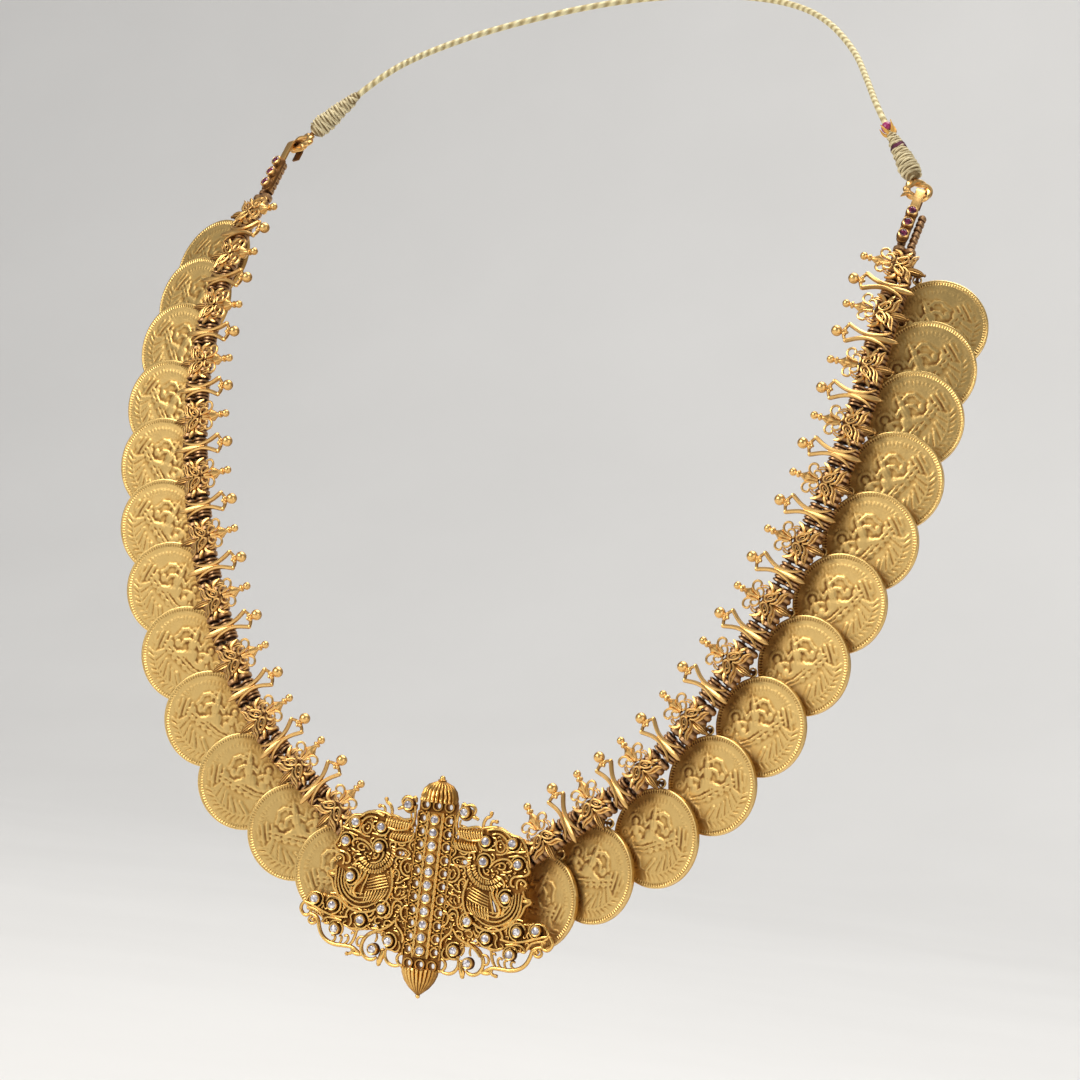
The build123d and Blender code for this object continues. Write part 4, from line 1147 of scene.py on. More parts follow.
# Raised wires given by their points: wire radius, height, points
raised_runs = [
    (0.33, 0.5, [(5.2, 15.2), (4.95, 13.6), (5.1, 11.8), (6.0, 10.5), (7.6, 9.8), (9.6, 9.7),
                 (11, 10)]),
    (0.26, 0.6, [(5.9, 13.6), (5.75, 12.6), (6.4, 12.1), (7.6, 12.1), (9.0, 12.5), (10.4, 12.6),
                 (11.2, 12.2)]),
    (0.28, 0.4, [(4.8, 9.6), (5.0, 8.4), (6.2, 7.4), (8.2, 7.1), (10.2, 7.5)]),
    (0.35, 0.4, [(12.2, 12.2), (14.0, 12.7), (15.8, 12.6), (17.0, 12.0), (17.8, 11.3)]),
    (0.3, 0.42, [(13.6, 11.5), (15.0, 11.8), (16.5, 11.1), (17.3, 9.9), (17.4, 8.7), (16.5, 7.7),
                 (14.9, 7.5)]),
    (0.26, 0.45, [(15.9, 10.5), (14.9, 10.2), (14.8, 8.9), (15.5, 8.1), (16.5, 8.4), (16.7, 9.4),
                  (15.9, 10.2)]),
    (0.24, 0.4, [(13.7, 10.9), (14.4, 10.7), (14.4, 9.6), (13.8, 9.0)]),
    (0.24, 0.4, [(11.0, 8.6), (12.1, 8.0), (13.4, 8.2), (14.5, 8.3)]),
    (0.24, 0.4, [(13.9, 7.4), (14.5, 7.0), (14.4, 6.3), (13.9, 6.1)]),
    (0.3, 0.35, [(17.2, 8.0), (18.8, 8.5), (20.4, 8.6), (21.6, 8.9)]),
    (0.24, 0.35, [(17.8, 7.3), (19.0, 7.6), (20.0, 7.9)]),
    (0.33, 0.4, [(22.0, 7.0), (22.4, 5.8), (22.9, 4.9), (22.3, 4.0), (20.8, 3.6), (19.6, 3.3),
                 (19.0, 2.5), (19.2, 1.5), (20.0, 1.3)]),
    (0.3, 0.4, [(20.6, 0.9), (20.4, 2.1), (21.0, 2.9), (21.9, 2.8), (22.5, 2.2), (22.1, 1.6)]),
    (0.33, 0.5, [(13.9, 5.0), (15.0, 6.0), (16.6, 6.7), (18.1, 6.6), (18.8, 5.8), (18.4, 5.1)]),
    (0.26, 0.52, [(14.7, 4.8), (15.7, 5.6), (16.9, 5.8), (17.4, 5.1), (16.7, 4.5), (15.7, 4.7)]),
    (0.26, 0.45, [(16.9, 4.0), (18.2, 4.2), (18.9, 4.6)]),
    (0.25, 0.45, [(16.5, 3.5), (17.6, 3.4), (18.3, 2.6)]),
    (0.28, 0.5, [(15.7, 3.0), (16.9, 2.5), (17.6, 1.6), (17.4, 0.8)]),
    (0.27, 0.45, [(11.3, 4.8), (11.5, 3.4), (12.5, 2.4), (14.0, 2.1)]),
    (0.23, 0.45, [(12.3, 4.2), (12.8, 3.3), (13.8, 3.0)]),
    (0.4, 0.55, [(15.0, 0.5), (15.2, -0.9), (16.0, -2.2), (16.9, -3.3), (17.2, -4.5), (16.6, -5.4)]),
    (0.3, 0.5, [(16.2, 0.4), (16.0, -0.7), (16.8, -2.2), (17.9, -3.1)]),
    (0.24, 0.4, [(14.4, -0.4), (14.8, -2.0), (15.4, -3.6), (15.7, -5.0)]),
    (0.36, 0.5, [(17.9, -3.4), (18.0, -4.1), (17.7, -4.9)]),
    (0.27, 0.4, [(5.1, 5.2), (6.3, 5.9), (7.9, 5.9), (8.8, 5.1), (8.4, 4.3), (7.0, 4.1), (5.6, 4.4),
                 (5.0, 5.2)]),
    (0.26, 0.4, [(8.9, 6.0), (8.7, 6.8), (9.4, 7.1), (10.0, 6.5), (9.8, 5.7)]),
    (0.26, 0.4, [(6.7, 3.9), (7.8, 3.8), (8.2, 3.1), (7.6, 2.4)]),
    (0.31, 0.4, [(4.7, 4.1), (6.2, 3.7), (6.9, 2.6), (6.6, 1.3), (5.6, 0.5), (4.6, 0.5)]),
    (0.22, 0.35, [(5.3, 3.2), (5.9, 2.5), (5.7, 1.5), (5.0, 1.2), (4.7, 2.0), (5.2, 3.1)]),
    (0.27, 0.4, [(7.4, -1.0), (7.0, 0.2), (7.4, 1.2), (8.3, 1.4), (8.6, 0.6), (8.2, -0.3)]),
    (0.26, 0.4, [(4.7, 0.0), (5.6, -0.4), (6.6, -1.2), (7.8, -1.4)]),
    (0.26, 0.4, [(4.9, -1.8), (5.7, -2.1), (6.8, -2.2), (7.5, -2.9), (7.5, -3.6)]),
    (0.22, 0.35, [(5.5, -2.5), (5.4, -3.3), (6.1, -3.9)]),
    (0.22, 0.35, [(6.4, -2.7), (6.4, -3.4), (7.0, -4.0)]),
    (0.26, 0.4, [(4.8, -3.6), (5.6, -4.3), (6.8, -4.7), (7.9, -4.4), (8.3, -3.6)]),
    (0.28, 0.4, [(5.4, -5.9), (6.0, -5.2), (7.1, -5.2), (7.7, -6.1), (7.7, -7.4), (8.2, -8.7),
                 (9.4, -9.1)]),
    (0.28, 0.4, [(4.2, -5.7), (5.1, -6.1), (5.6, -7.3), (5.1, -8.5), (4.2, -9.0)]),
    (0.31, 0.4, [(6.1, -8.0), (6.6, -8.9), (6.4, -10.0), (5.2, -11.2), (4.5, -12.4), (4.6, -13.6)]),
    (0.34, 0.35, [(6.9, -9.2), (7.9, -10.5), (9.4, -11.4), (11.0, -12.0), (12.6, -12.9),
                  (13.8, -14.2)]),
    (0.24, 0.4, [(7.5, -9.8), (8.4, -9.5), (9.2, -9.9), (8.9, -10.6), (8.2, -10.3)]),
    (0.24, 0.4, [(9.7, -9.4), (10.8, -9.1), (11.5, -9.7), (11.1, -10.4), (10.3, -10.1)]),
    (0.22, 0.35, [(5.5, -12.3), (5.9, -11.5), (6.8, -11.4)]),
    (0.26, 0.35, [(5.4, -13.4), (5.0, -14.8), (5.8, -15.7), (6.9, -15.5)]),
    (0.25, 0.35, [(11.0, -10.8), (10.6, -11.4), (11.3, -11.9)]),
    (0.25, 0.35, [(12.3, -11.7), (13.0, -11.2), (12.5, -10.7)]),
    (0.24, 0.4, [(12.0, -7.9), (12.4, -8.8), (13.1, -9.2)]), (0.22, 0.4, [(13.2, -7.6), (13.6, -8.5)]),
    (0.29, 0.4, [(14.8, -8.2), (16.0, -7.8), (17.4, -8.0), (18.3, -8.9), (18.5, -9.9)]),
    (0.23, 0.4, [(15.9, -8.9), (16.7, -9.0), (17.3, -9.6), (17.0, -10.8), (17.5, -11.8)]),
    (0.22, 0.38, [(18.2, -10.8), (18.9, -11.4), (18.3, -12.0)]),
    (0.34, 0.38, [(18.0, -9.9), (20.2, -10.2), (22.6, -9.9), (24.6, -9.3), (26.6, -8.5), (28.6, -8.0)]),
    (0.3, 0.33, [(19.4, -10.9), (21.4, -10.6), (23.2, -10.8), (24.1, -11.8)]),
    (0.26, 0.35, [(18.4, -7.5), (19.2, -6.5), (20.3, -5.8)]),
    (0.34, 0.2, [(21.9, 0.6), (22.5, -0.7), (24.0, -1.4), (22.8, -2.5), (22.2, -4.2), (21.0, -5.8)]),
    (0.45, 0.15, [(22.2, -1.4), (22.9, -1.4), (23.6, -1.4)]),
    (0.26, 0.35, [(11.6, -8.9), (12.4, -10.0), (12.9, -10.3)]),
    (0.25, 0.35, [(15.6, -12.0), (17.0, -12.2), (18.6, -11.7)]),
    (0.24, 0.35, [(4.4, 8.3), (5.5, 7.0), (4.9, 5.9)]),
    (0.23, 0.38, [(6.4, 6.9), (7.4, 6.5), (8.2, 6.9)]),
    (0.24, 0.35, [(10.4, 1.4), (9.3, 2.2), (9.0, 3.4)]),
    (0.24, 0.35, [(9.5, -5.2), (9.0, -6.0), (9.2, -6.6)]),
    (0.24, 0.35, [(20.4, -4.9), (19.6, -6.0), (18.2, -7.0)]),
    (0.24, 0.35, [(24.4, -8.9), (24.0, -8.2), (24.4, -7.6)]),
]
# Pierced border scrolls, through the plate's thickness: wire radius and points
border_runs = [
    (0.36, [(28.4, -7.9), (29.2, -8.3), (29.7, -9.2), (29.3, -10.4), (28.4, -10.9), (27.5, -10.4),
            (27.4, -9.6), (27.9, -9.2)]),
    (0.31, [(26.9, -10.9), (27.5, -11.6), (27.2, -12.3), (26.3, -12.4), (25.8, -11.7), (26.3, -11.1)]),
    (0.42, [(27.4, -10.4), (26.2, -10.7), (25.4, -11.3), (25.0, -12.6), (24.2, -14.3), (22.8, -15.5),
            (20.8, -16.1), (18.6, -16.1), (16.6, -16.2), (15.2, -16.9), (14.3, -17.5)]),
    (0.34, [(15.0, -11.6), (15.9, -12.6), (16.2, -13.9), (16.7, -15.1), (17.4, -16.0)]),
    (0.25, [(16.2, -13.3), (16.8, -13.1), (17.1, -13.5)]),
    (0.28, [(18.7, -14.1), (18.0, -13.9), (17.7, -14.6), (18.1, -15.4), (18.8, -16.0)]),
    (0.27, [(19.9, -14.2), (19.4, -14.3), (19.3, -15.1), (19.8, -15.9)]),
    (0.28, [(21.7, -14.3), (21.1, -14.2), (20.8, -14.8), (21.2, -15.5), (22.2, -15.7)]),
    (0.36, [(14.0, -17.4), (15.3, -17.5), (16.4, -17.0), (16.4, -16.3)]),
    (0.33, [(16.0, -16.8), (16.8, -17.5), (17.6, -17.7)]),
    (0.4, [(9.8, -12.3), (11.2, -12.2), (12.9, -12.9), (14.0, -14.2), (14.4, -15.9), (13.8, -17.3),
           (12.7, -18.1), (11.4, -18.1), (10.6, -17.5)]),
    (0.28, [(14.1, -13.7), (15.1, -13.9), (15.6, -14.8), (15.1, -15.7), (14.4, -15.5)]),
    (0.26, [(11.1, -12.6), (11.0, -13.6), (11.3, -14.4)]),
    (0.3, [(9.4, -12.5), (9.5, -13.6), (9.0, -14.6)]),
    (0.6, [(9.2, -15.9), (9.4, -17.0), (9.8, -18.2), (9.9, -18.8)]),
    (0.35, [(8.4, -15.2), (8.7, -16.5), (8.2, -17.8), (7.1, -18.6), (5.8, -18.7), (4.6, -18.3)]),
    (0.34, [(3.9, -15.9), (5.0, -16.0), (5.7, -16.9), (5.4, -17.9), (4.4, -18.5), (3.6, -18.3)]),
    (0.3, [(6.4, -15.5), (8.0, -15.4), (8.8, -14.8)]),
    (0.3, [(9.0, -15.6), (9.6, -15.9), (10.2, -16.2)]),
    (0.34, [(10.9, 11.9), (10.8, 13.4), (11.3, 14.6), (12.3, 15.3), (12.4, 15.8)]),
    (0.3, [(12.7, 12.3), (12.5, 13.5), (12.9, 14.2), (13.8, 14.2)]),
    (0.34, [(5.4, 15.9), (5.7, 17.0), (6.3, 16.6), (7.2, 16.9), (8.2, 16.6), (8.6, 15.8), (8.3, 15.0)]),
    (0.38, [(7.8, 14.6), (8.6, 14.5), (9.5, 14.1)]),
]
fullness = 1.15
# The grid on which bare places of the plate are looked for, and the room that a small curl needs
curl_rows, curls_per_row = 76, 64
curl_corner = (4.6, 15.0)
curl_step, curl_pitch = 0.36, 0.4
curl_room = 0.98
# Short wires side by side like a rope: radius, start angle, sweep, count, wire radius
rope_rows = [(4.75, 165, 145, 20, 0.34), (3.6, 185, 128, 14, 0.32)]


def inside(x, y, outline):
    """Whether a point lies inside an outline."""
    crossings = 0
    for (x1, y1), (x2, y2) in zip(outline, outline[1:] + outline[:1]):
        if (y1 > y) != (y2 > y) and x < x1 + (x2 - x1) * (y - y1) / (y2 - y1):
            crossings += 1
    return crossings % 2 == 1


def small_curls(strokes):
    """Small curls of fine wire in the bare places that the larger scrolls leave."""
    taken = [Vector(spot) for spot in side_stones]
    reaches = [1.75] * len(taken)
    for points, size, first, last in strokes:
        for start, end in zip(points, points[1:]):
            start, end = Vector(start).to_2d(), Vector(end).to_2d()
            pieces = max(int((end - start).length / 0.35), 1)
            for step in range(pieces + 1):
                taken.append(start.lerp(end, step / pieces))
                reaches.append(size + 0.3)
    curls = []
    for row in range(curl_rows):
        for place in range(curls_per_row):
            x = curl_corner[0] + curl_step * place + curl_step / 2 * (row % 2)
            y = curl_corner[1] - curl_pitch * row
            on_plate = inside(x, y, upper_plate) or inside(x, y, lower_plate)
            on_plate = on_plate or hypot(x - roundel_centre[0], y - roundel_centre[1]) < 7.2
            spot = Vector((x, y))
            if not on_plate or any((spot - other).length < reach for other, reach in zip(taken, reaches)):
                continue
            turn = (47 * len(curls)) % 360
            bend = 0.34 if len(curls) % 3 else 0.26
            curls.append((arc(x, y, bend, turn, 250 - 20 * (len(curls) % 4), 0.28, 0.15), 0.19, 0.8, 0.9))
            taken.append(spot)
            reaches.append(curl_room)
    return curls


def filigree():
    """The raised scrolls, the birds and the roundels, right and left."""
    strokes = [(arc(x, y, bend, start, sweep, height), size * fullness, 0.8, 0.7)
               for x, y, bend, start, sweep, size, height in raised_arcs]
    strokes += [(lift(points, height), size * fullness, 0.8, 0.75) for size, height, points in raised_runs]
    for step in range(10):
        x = 5.7 + 0.6 * step
        strokes.append(
            ([(x, 12.0 + 0.04 * step, 0.45), (x + 0.2, 11.0, 1.05),
              (x + 0.6, 9.8, 0.4)], 0.22, 0.8, 0.7)
        )
    for step in range(8):
        x = 5.2 + 0.63 * step
        strokes.append(
            ([(x, 9.2, 0.35), (x + 0.35, 8.5, 0.8), (x + 0.75, 7.6, 0.35)], 0.21, 0.8, 0.6)
        )
    for step in range(5):
        share = step / 4
        strokes.append(
            ([(10.3 - 1.0 * share, -0.1 - 2.2 * share, 0.4),
              (12.2 - 0.6 * share, -0.7 - 2.4 * share, 0.7),
              (14.3 + 0.1 * share, -1.5 - 2.3 * share, 0.4)], 0.19, 0.8, 0.6)
        )
    for step in range(8):
        share = step / 7
        strokes.append(
            ([(9.3 + 5.0 * share, -2.9 - 1.1 * share, 0.4),
              (9.8 + 4.7 * share, -4.3 - 0.9 * share, 0.65),
              (11.2 + 3.7 * share, -5.8 - 0.8 * share, 0.4)], 0.21, 0.8, 0.6)
        )
    for bend, first, sweep, count, size in rope_rows:
        for step in range(count):
            side = first + sweep * step / (count - 1)
            ends = polar(bend - 0.42, side), polar(bend + 0.42, side + 5)
            strokes.append(
                ([(13.6 + x, 5.0 + y, z) for (x, y), z in zip(ends, (0.55, 0.65))], size, 0.8, 0.8)
            )
    piece = wires(strokes)
    shade(piece, 0.75, -0.35)
    small = wires(small_curls(strokes), fineness=2)
    parts = [piece, shade(small, 0.6, -0.5)]
    seeds = grain(
        [(4.6, 5.6, 0.3), (4.6, 2.9, 0.3), (4.6, 0.1, 0.3), (4.6, -2.6, 0.3), (4.6, -5.4, 0.3),
         (4.6, -8.1, 0.3), (14.9, 3.3, 0.5), (15.6, 3.0, 0.5), (15.2, 2.3, 0.5), (17.9, 2.3, 0.45),
         (7.3, 3.2, 0.4), (9.6, -12.7, 0.3), (13.2, -11.9, 0.3), (24.9, -8.3, 0.3), (6.0, 2.3, 0.4),
         (19.0, -8.1, 0.4), (8.3, -8.0, 0.4), (12.6, -9.8, 0.4), (6.1, -9.0, 0.35), (9.0, -8.4, 0.4),
         (22.6, 1.4, 0.2), (11.9, -6.7, 0.3), (13.4, -7.1, 0.3), (17.2, 10.6, 0.4), (14.2, 9.8, 0.4),
         (5.7, -3.0, 0.3), (8.4, 2.2, 0.35), (4.4, 7.2, 0.3), (16.0, 5.2, 0.5), (19.9, -11.0, 0.3)],
        0.34,
    )
    parts.append(shade(seeds, 0.8, 0.0))
    return both_sides(joined(parts, "scrolls"))


def border():
    """The pierced scrolls round the pendant, right and left."""
    strokes = [(lift(points, -0.3), size * fullness, 0.8, 0.75) for size, points in border_runs]
    for outline in (upper_plate[1:9], lower_plate[2:9], lower_plate[8:14]):
        strokes.append((lift(outline, -0.15), 0.36, 0.8, 0.8))
    piece = wires(strokes, sides=2)
    shade(piece, 0.15, -0.85)
    ends = grain(
        [
            (27.9, -9.3, -0.3), (26.5, -11.6, -0.2), (17.6, -17.7, -0.3),
            (12.4, 15.8, -0.2), (13.8, 14.2, -0.2), (9.9, -18.9, -0.3),
        ], 0.52,
    )
    shade(ends, 0.3, -0.8)
    return both_sides(joined([piece, ends], "border"))


def column():
    """The centre strip of stones with its rails and pierced curls."""
    strokes = []
    for x, swing, size, z in ((1.7, 0.22, 0.25, 0.7), (1.7, -0.22, 0.25, 0.62), (4.3, 0.14, 0.28, 0.1)):
        points = [(x, strip_bottom, z)]
        for step in range(2 * centre_stones - 1):
            bend = swing if step % 2 else -swing
            points.append((x - bend, first_stone - stone_pitch * (centre_stones - 1 - step / 2), z))
        strokes.append((points + [(x, strip_top, z)], size, 1, 1))
    for x, y in centre_column:
        strokes.append((arc(column_offset, y, 0.95, 50, 260, 0.3), 0.3, 0.8, 0.7))
        curl = [(2.2, y + 1.4), (2.9, y + 1.1), (3.6, y + 1.45), (4.2, y + 1.2)]
        strokes.append((lift(curl, 0.25), 0.2, 0.7, 0.7))
    for y in (first_stone + 2.9, strip_bottom - 1.4):
        strokes.append((arc(2.8, y, 1.0, 0, 360, 0.2), 0.26, 1, 1))
        strokes.append((arc(0, y, 1.0, -90, 180, 0.2), 0.26, 1, 1))
    piece = wires(strokes)
    shade(piece, 0.8, -0.2)
    seeds = grain([(2.35, y + 1.38, 0.35) for x, y in centre_column]
                  + [(4.1, y + 0.1, 0.3) for x, y in centre_column], 0.33)
    shade(seeds, 0.8, 0.0)
    right = both_sides(joined([piece, seeds], "column"))
    strip = prism(
        [(-1.9, strip_bottom), (1.9, strip_bottom), (1.9, strip_top), (-1.9, strip_top)], 0.6, -0.2
    )
    shade(strip, 1.5, -0.2)
    return joined([right, strip], "column")


def half_dome(profile, flutes, depth):
    """A fluted turned form, flat at the back."""
    piece = lathe(profile, flutes * 6)
    fluted(piece, flutes, depth)
    with editing(piece):
        bpy.ops.mesh.bisect(plane_co=(0, 0, -0.4), plane_no=(0, 0, 1), use_fill=True, clear_inner=True)
    moved(piece, Matrix.Translation((0, 0, -0.5)))
    return shade(piece, 3.8, -2.6, 0.3)


def domes():
    """The fluted dome above and the fluted point below."""
    top, low = dome_seat, -point_seat
    crown = half_dome(
        [(0, top), (4.2, top), (4.3, top + 0.35), (4.1, top + 0.6), (4.15, top + 1.2), (3.7, top + 2.6),
         (2.7, top + 3.7), (1.3, top + 4.3), (0.8, top + 4.45), (0, top + 4.5)],
        26, 0.13,
    )
    point = half_dome(
        [(0, low), (4.2, low), (4.3, low - 0.35), (4.05, low - 0.6), (4.0, low - 1.2), (3.3, low - 2.8),
         (2.2, low - 4.2), (1.0, low - 5.2), (0.5, low - 5.6), (0, low - 5.7)],
        26, 0.13,
    )
    collar = lathe([(0, 21.0), (0.9, 21.05), (1.0, 21.3), (0.6, 21.5), (0, 21.6)], 14)
    shade(collar, 1, -1)
    knobs = [ball(0, top + 5.05, 0, 0.62, 14), ball(0, low - 5.95, 0, 0.5, 12)]
    knob = joined([collar, *knobs], "knobs")
    shade(knob, 0.5, -1.0)
    moved(knob, Matrix.Translation((0, 0, -0.5)))
    return joined([crown, point, knob], "domes")


def setting():
    """One closed setting: a collar with a rounded rim."""
    collar = lathe(
        [(1.36, -0.2), (1.34, 0.3), (1.2, 0.5), (1.24, 0.9), (1.18, 1.22), (1.04, 1.32), (0.9, 1.26),
         (0.88, 0.9), (0, 0.85)], 20,
    )
    moved(collar, Matrix.Rotation(pi / 2, 4, "X"))
    shade(collar, 1.3, 0.2)
    return collar


setting_pattern = setting()
setting_places = centre_column + side_stones + [(-x, y) for x, y in side_stones]
settings = copies_at(setting_pattern, setting_places, "settings")
lugs = []
for row in (upper_row, lower_row):
    start, end = corners[row][0], corners[row][1]
    along = (end - start).normalized()
    side = along.orthogonal()
    length = (end - start).length - tube_gap / 2
    place = Matrix.Translation(start) @ along_y(side, along) @ Matrix.Diagonal((1, length, 1, 1))
    lugs.append(copy_at(tube_pattern, pendant_seat.inverted() @ place))
    lugs.append(copy_at(tube_pattern, pendant_seat.inverted() @ to_left @ place))

for piece, name, material, angle in (
    (plate, "pierced_plate", ground_finish, 30),
    (filigree(), "raised_filigree", pendant_finish, 60),
    (border(), "border_scrolls", pendant_finish, 60),
    (column(), "centre_strip", pendant_finish, 60),
    (domes(), "fluted_domes", pendant_finish, 50),
    (settings, "stone_settings", pendant_finish, 40),
    (joined(lugs, "lugs"), "string_lugs", tube_finish, 50),
):
    smooth(moved(piece, to_metres @ pendant_seat), angle)
    settled_piece(piece, name, material, "filigree_gold", "pendant_filigree")


def faceted_stone():
    """A cut stone: a table, two rows of eight crown facets and a girdle."""
    bpy.ops.mesh.primitive_cylinder_add(vertices=8, radius=0.9, depth=0.4, location=(0, 0, 1.0))
    stone = bpy.context.object
    bpy.ops.object.transform_apply(location=True, rotation=False, scale=False)
    alone(stone)
    bpy.ops.object.mode_set(mode="EDIT")
    bpy.ops.mesh.select_all(action="DESELECT")
    bpy.ops.object.mode_set(mode="OBJECT")
    for face in stone.data.polygons:
        face.select = face.normal.z > 0.9
    bpy.ops.object.mode_set(mode="EDIT")
    bpy.ops.mesh.select_mode(type="FACE")
    bpy.ops.mesh.extrude_region_move(TRANSFORM_OT_translate={"value": (0, 0, 0.2)})
    bpy.ops.transform.resize(value=(0.8, 0.8, 1), center_override=(0, 0, 0))
    bpy.ops.mesh.extrude_region_move(TRANSFORM_OT_translate={"value": (0, 0, 0.1)})
    bpy.ops.transform.resize(value=(0.68, 0.68, 1), center_override=(0, 0, 0))
    bpy.ops.transform.rotate(value=pi / 8, orient_axis="Z", center_override=(0, 0, 0))
    bpy.ops.object.mode_set(mode="OBJECT")
    return stone


stone_pattern = faceted_stone()
for name, spots, node in (
    ("center_stones", centre_column, "pendant_center_stones"),
    ("right_stones", side_stones, "pendant_right_stones"),
    ("left_stones", [(-x, y) for x, y in side_stones], "pendant_left_stones"),
):
    stones = moved(copies_at(stone_pattern, spots, name), to_metres @ pendant_seat)
    settled_piece(stones, f"cut_{name}", clear_finish, "clear_stone", node)


# End fittings: bars of stones, rings, windings, bead
def twisted_ring():
    """A ring of two twisted wires that ends in a spur, in its own plane."""
    strokes = []
    turns = 3
    strand_offset = 0.3
    strand_size = 0.57
    count = turns * 12
    for phase in (0, pi):
        points = []
        for i in range(count + 1):
            side = 2 * pi * i / count
            roll = turns * side + phase
            reach = ring_radius + strand_offset * cos(roll)
            points.append((reach * cos(side), reach * sin(side), strand_offset * sin(roll)))
        strokes.append((points, strand_size, 1, 1))
    strokes.append(([(1.2, 2.1, 0.3), (2.3, 1.5, 0.35), (3.1, 1.7, 0.2), (3.9, 2.3, 0)], 0.46, 0.8, 0.25))
    ring = wires(strokes, sides=2)
    return shade(ring, 0.5, -1.2, 0.3)


def chased_bar():
    """The bar of three settings, with its strap and hook."""
    ends = []
    for i in range(18):
        side = radians(-90 + 180 * (i % 9) / 8 + 180 * (i // 9))
        middle_x = (bar_length - bar_width) / 2 * (1 if i < 9 else -1)
        ends.append((middle_x + bar_width / 2 * cos(side), bar_width / 2 * sin(side)))
    bar = prism(ends, 0, -bar_thickness)
    strap_line = [(bar_length / 2 - 1.5, strap_centre), (hook_start - 1.6, strap_centre)]
    for step in range(13):
        side = radians(90 - 15 * step)
        strap_line.append(
            (hook_start + hook_radius * cos(side), strap_centre - hook_radius + hook_radius * sin(side))
        )
    strap_line.append((hook_start - hook_return, strap_centre - 2 * hook_radius))
    mesh = bpy.data.meshes.new("strap")
    mesh.from_pydata(
        [(x, y, z) for x, z in strap_line for y in (-strap_width / 2, strap_width / 2)], [],
        [(2 * i, 2 * i + 1, 2 * i + 3, 2 * i + 2) for i in range(len(strap_line) - 1)],
    )
    strap = added("strap", mesh)
    sheet = strap.modifiers.new("sheet", "SOLIDIFY")
    sheet.thickness = strap_thickness
    sheet.offset = 0
    for piece, width in ((bar, 0.18), (strap, 0.1)):
        rounding = piece.modifiers.new("edges", "BEVEL")
        rounding.width = width
        rounding.segments = 2
        finish_modifiers(piece)
        settle(piece)
    shade(bar, 0.8, -0.5)
    shade(strap, 0.4, -1.8)
    return joined([bar, strap, copies_at(setting_pattern, bar_settings, "collars")], "bar")


def flare(height, size):
    """Gold thread ends that spread from the winding's tip round the bead."""
    strokes = []
    for step in range(5):
        side = 2 * pi * step / 5
        reach = 1.5 + 0.3 * (step % 3)
        strokes.append(
            ([(0.5 * cos(side), height, 0.5 * sin(side)),
              (1.15 * cos(side), height + 0.7, 1.15 * sin(side)),
              (reach * cos(side), height + size + 0.5 * (step % 2), reach * sin(side))], 0.36, 1, 0.2)
        )
    return wires(strokes)


def thread_turns():
    """The wound thread over the cord's end, its axis along +Y."""
    outline = [(0, 0.2), (0.04, 0.37), (0.11, 0.47), (0.24, 0.49), (0.5, 0.41), (0.72, 0.32), (0.76, 0.34),
               (1, 0.2)]
    core = lathe([(0, 0)] + [(0.86 * w * winding_base, s * winding_length) for s, w in outline]
                 + [(0, winding_length)], 16)
    # The core between the turns is painted darker: painted shade
    store_patina_and_shade(core.data, np.full(len(core.data.vertices), 0.6))
    shares = [s for s, w in outline]
    widths = [w for s, w in outline]
    turns = 25
    per_turn = 10
    thread_size = 0.3
    points = []
    for i in range(turns * per_turn + 1):
        share = i / (turns * per_turn)
        side = 2 * pi * i / per_turn
        wobble = 0.1 * sin(7.3 * side) + 0.08 * sin(2.9 * side + 1)
        reach = float(np.interp(share, shares, widths)) * winding_base - 0.26 + wobble
        height = 0.25 + share * (winding_length - 0.5) + 0.2 * sin(1.7 * side)
        points.append((reach * cos(side), height, reach * sin(side)))
    coil = wires([(points, thread_size, 0.8, 0.8)], fineness=2)
    # Painted shade: thread darker the farther inside the winding's outline it lies
    values = []
    for point in coil.data.vertices:
        share = min(max(point.co.y / winding_length, 0), 1)
        outer = float(np.interp(share, shares, widths)) * winding_base
        values.append(min(max((outer - hypot(point.co.x, point.co.z)) * 1.4, 0), 1))
    store_patina_and_shade(coil.data, values)
    return joined([core, coil], "winding")


ring_pattern = twisted_ring()
winding_pattern = thread_turns()
ring_seat = seat(ring_centre, ring_side, ring_way.cross(ring_side))
winding_seat = Matrix.Translation(winding_start) @ along_y(winding_axis.orthogonal(), winding_axis)
shank = wires([([tuple(ring_far - winding_axis * 0.2), tuple(ring_far + winding_axis * shank_length)],
                ring_wire / 2, 1, 1)], sides=2)
shade(shank, 1, -1)
bar_settings = [(-bezel_pitch, 0), (0, 0), (bezel_pitch, 0)]
bar_pattern = chased_bar()
bar_tubes = joined([tube_on(row, 2 * links_per_side, 0.62) for row in corners], "bar_tubes")
band_place = 0.64 * winding_length
for side, mirror in halves:
    half = to_metres @ mirror
    ring = joined([copy_at(ring_pattern, ring_seat), copy_at(shank, Matrix())], "ring")
    winding = copy_at(winding_pattern, half @ winding_seat)
    bar = copy_at(bar_pattern, half @ bar_seat)
    for piece, name, material, angle, slot, node in (
        (moved(ring, half), "twisted_ring", fitting_finish, 40, "filigree_gold", "clasp_ring"),
        (winding, "thread_winding", winding_finish, 60, "wound_thread", "cord_winding"),
        (bar, "chased_bar", fitting_finish, 40, "filigree_gold", "stone_bar"),
        (copy_at(bar_tubes, half), "bar_tubes", tube_finish, 50, "filigree_gold", "stone_bar"),
    ):
        settled_piece(smooth(piece, angle), f"{name}_{side}", material, slot, f"{node}_{side}")
    stones = moved(copies_at(stone_pattern, bar_settings, "stones"), half @ bar_seat)
    settled_piece(stones, f"cut_red_stones_{side}", ruby_finish, "red_stone", f"red_stones_{side}")
rounds = []
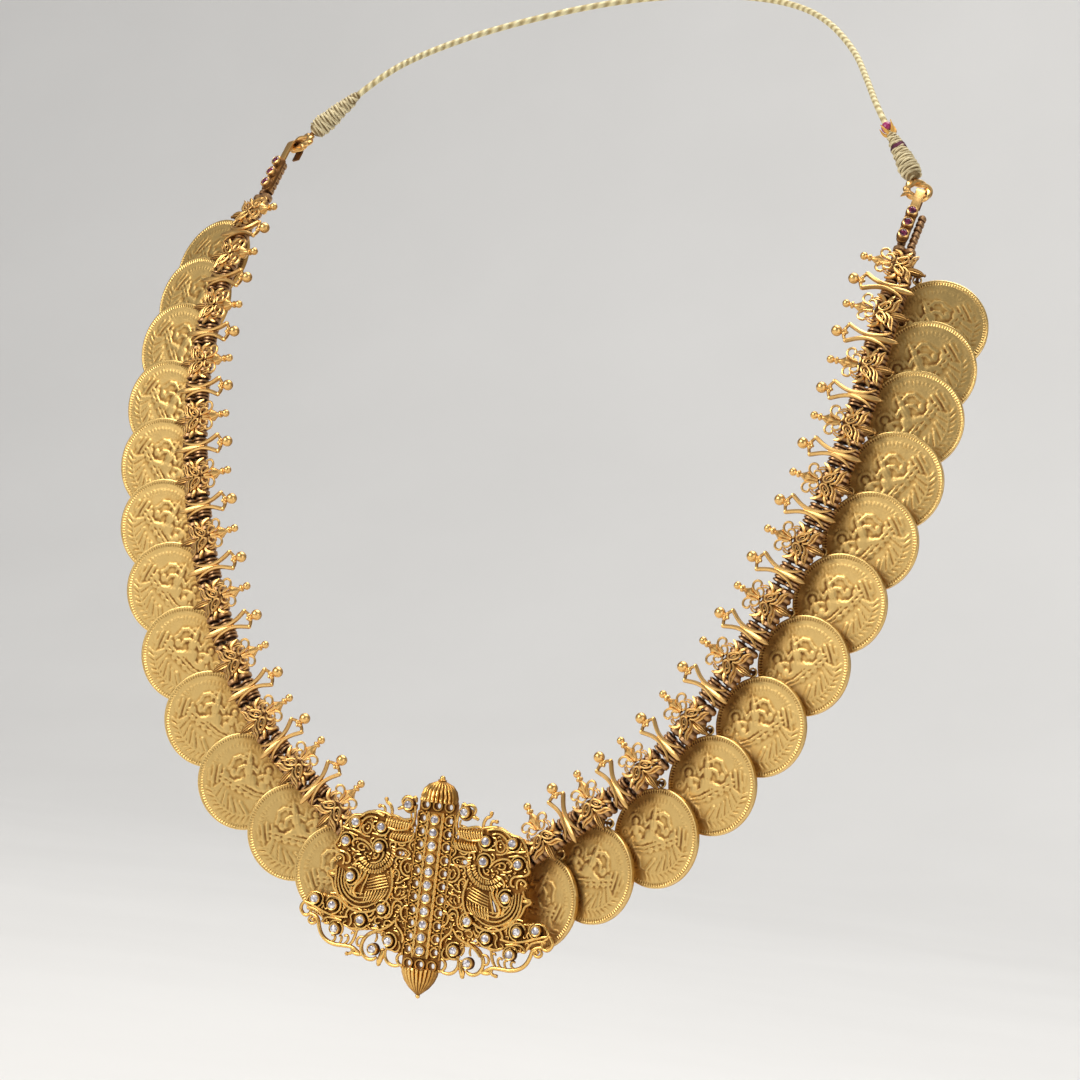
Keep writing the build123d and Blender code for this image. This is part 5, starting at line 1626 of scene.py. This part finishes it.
for step in range(3):
    bpy.ops.mesh.primitive_torus_add(
        major_radius=0.33 * winding_base - 0.02 * step, minor_radius=0.24, major_segments=20,
        minor_segments=8, location=(0, 0, 0),
    )
    turn = bpy.context.object
    moved(turn, Matrix.Rotation(pi / 2, 4, "X"))
    moved(turn, Matrix.Rotation(0.12 * (step - 1), 4, "Z"))
    moved(turn, Matrix.Translation((0, band_place + 0.36 * step, 0)))
    rounds.append(shade(turn, 3, -3))
band = moved(joined(rounds, "band"), to_metres @ winding_seat)
settled_piece(smooth(band), "thread_band", magenta_finish, "bead_red")
crown = moved(flare(winding_length - 0.5, 2.2), to_metres @ winding_seat)
settled_piece(smooth(crown), "thread_crown", crown_finish, "wound_thread")

for pattern in (ring_pattern, winding_pattern, shank, setting_pattern, stone_pattern, tube_pattern,
                flower_pattern, pillar_pattern, bar_pattern, bar_tubes):
    scrap(pattern)

# CAD nodes that stay in sight
for name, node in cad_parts.items():
    if node.hide_render:
        continue
    material = fitting_finish
    if "string" in name:
        material = string_finish
    if name == "cord_bead":
        material = bead_finish
    node.data.materials.clear()
    node.data.materials.append(material)

# Floor and light
low = cad_box[0][2] - 0.075
floor_reach = 12
wall_top = 4
bpy.ops.object.select_all(action="DESELECT")
mesh = bpy.data.meshes.new("floor")
sweep_start, sweep_radius = 1.6, 1.0
sweep_points = [(-floor_reach, low), (0, low)]
for step in range(33):
    side = radians(90 * step / 32)
    sweep_points.append((sweep_start + sweep_radius * sin(side), low + sweep_radius * (1 - cos(side))))
sweep_points.append((sweep_start + sweep_radius, wall_top))
verts = [(x, y, z) for y, z in sweep_points for x in (-floor_reach, floor_reach)]
faces = [(2 * i, 2 * i + 1, 2 * i + 3, 2 * i + 2) for i in range(len(sweep_points) - 1)]
mesh.from_pydata(verts, [], faces)
floor = added("floor", mesh)
mesh.materials.append(floor_finish())
smooth(floor, 80)


def panel(name, place, aim, width, height, power, tint):
    """A soft light panel turned towards a point."""
    data = bpy.data.lights.new(name, "AREA")
    data.shape = "RECTANGLE"
    data.size = width
    data.size_y = height
    data.energy = power
    data.color = tint
    lamp = added(name, data)
    lamp.location = place
    lamp.rotation_euler = (Vector(aim) - Vector(place)).to_track_quat("-Z", "Y").to_euler()


middle = (0, -0.06, -0.12)
panel("key_light", (-0.7, -1.3, 0.65), middle, 0.8, 0.8, 15, (1.0, 0.96, 0.9))
panel("fill_light", (1.35, -0.7, 0.1), middle, 0.9, 0.9, 4, (1.0, 0.97, 0.93))
panel("top_light", (0.1, 0.1, 1.1), middle, 0.9, 0.5, 8, (1.0, 0.98, 0.95))
panel("backdrop_light", (0.0, 1.0, 2.2), (0, 2.1, 0.0), 3.0, 1.0, 42, (1.0, 1.0, 1.0))
world = bpy.data.worlds.new("studio")
world.use_nodes = True
world.node_tree.nodes["Background"].inputs["Color"].default_value = (0.9, 0.9, 0.92, 1)
world.node_tree.nodes["Background"].inputs["Strength"].default_value = 0.24
bpy.context.scene.world = world
bpy.context.scene.view_settings.view_transform = "Standard"
bpy.context.scene.view_settings.look = "None"
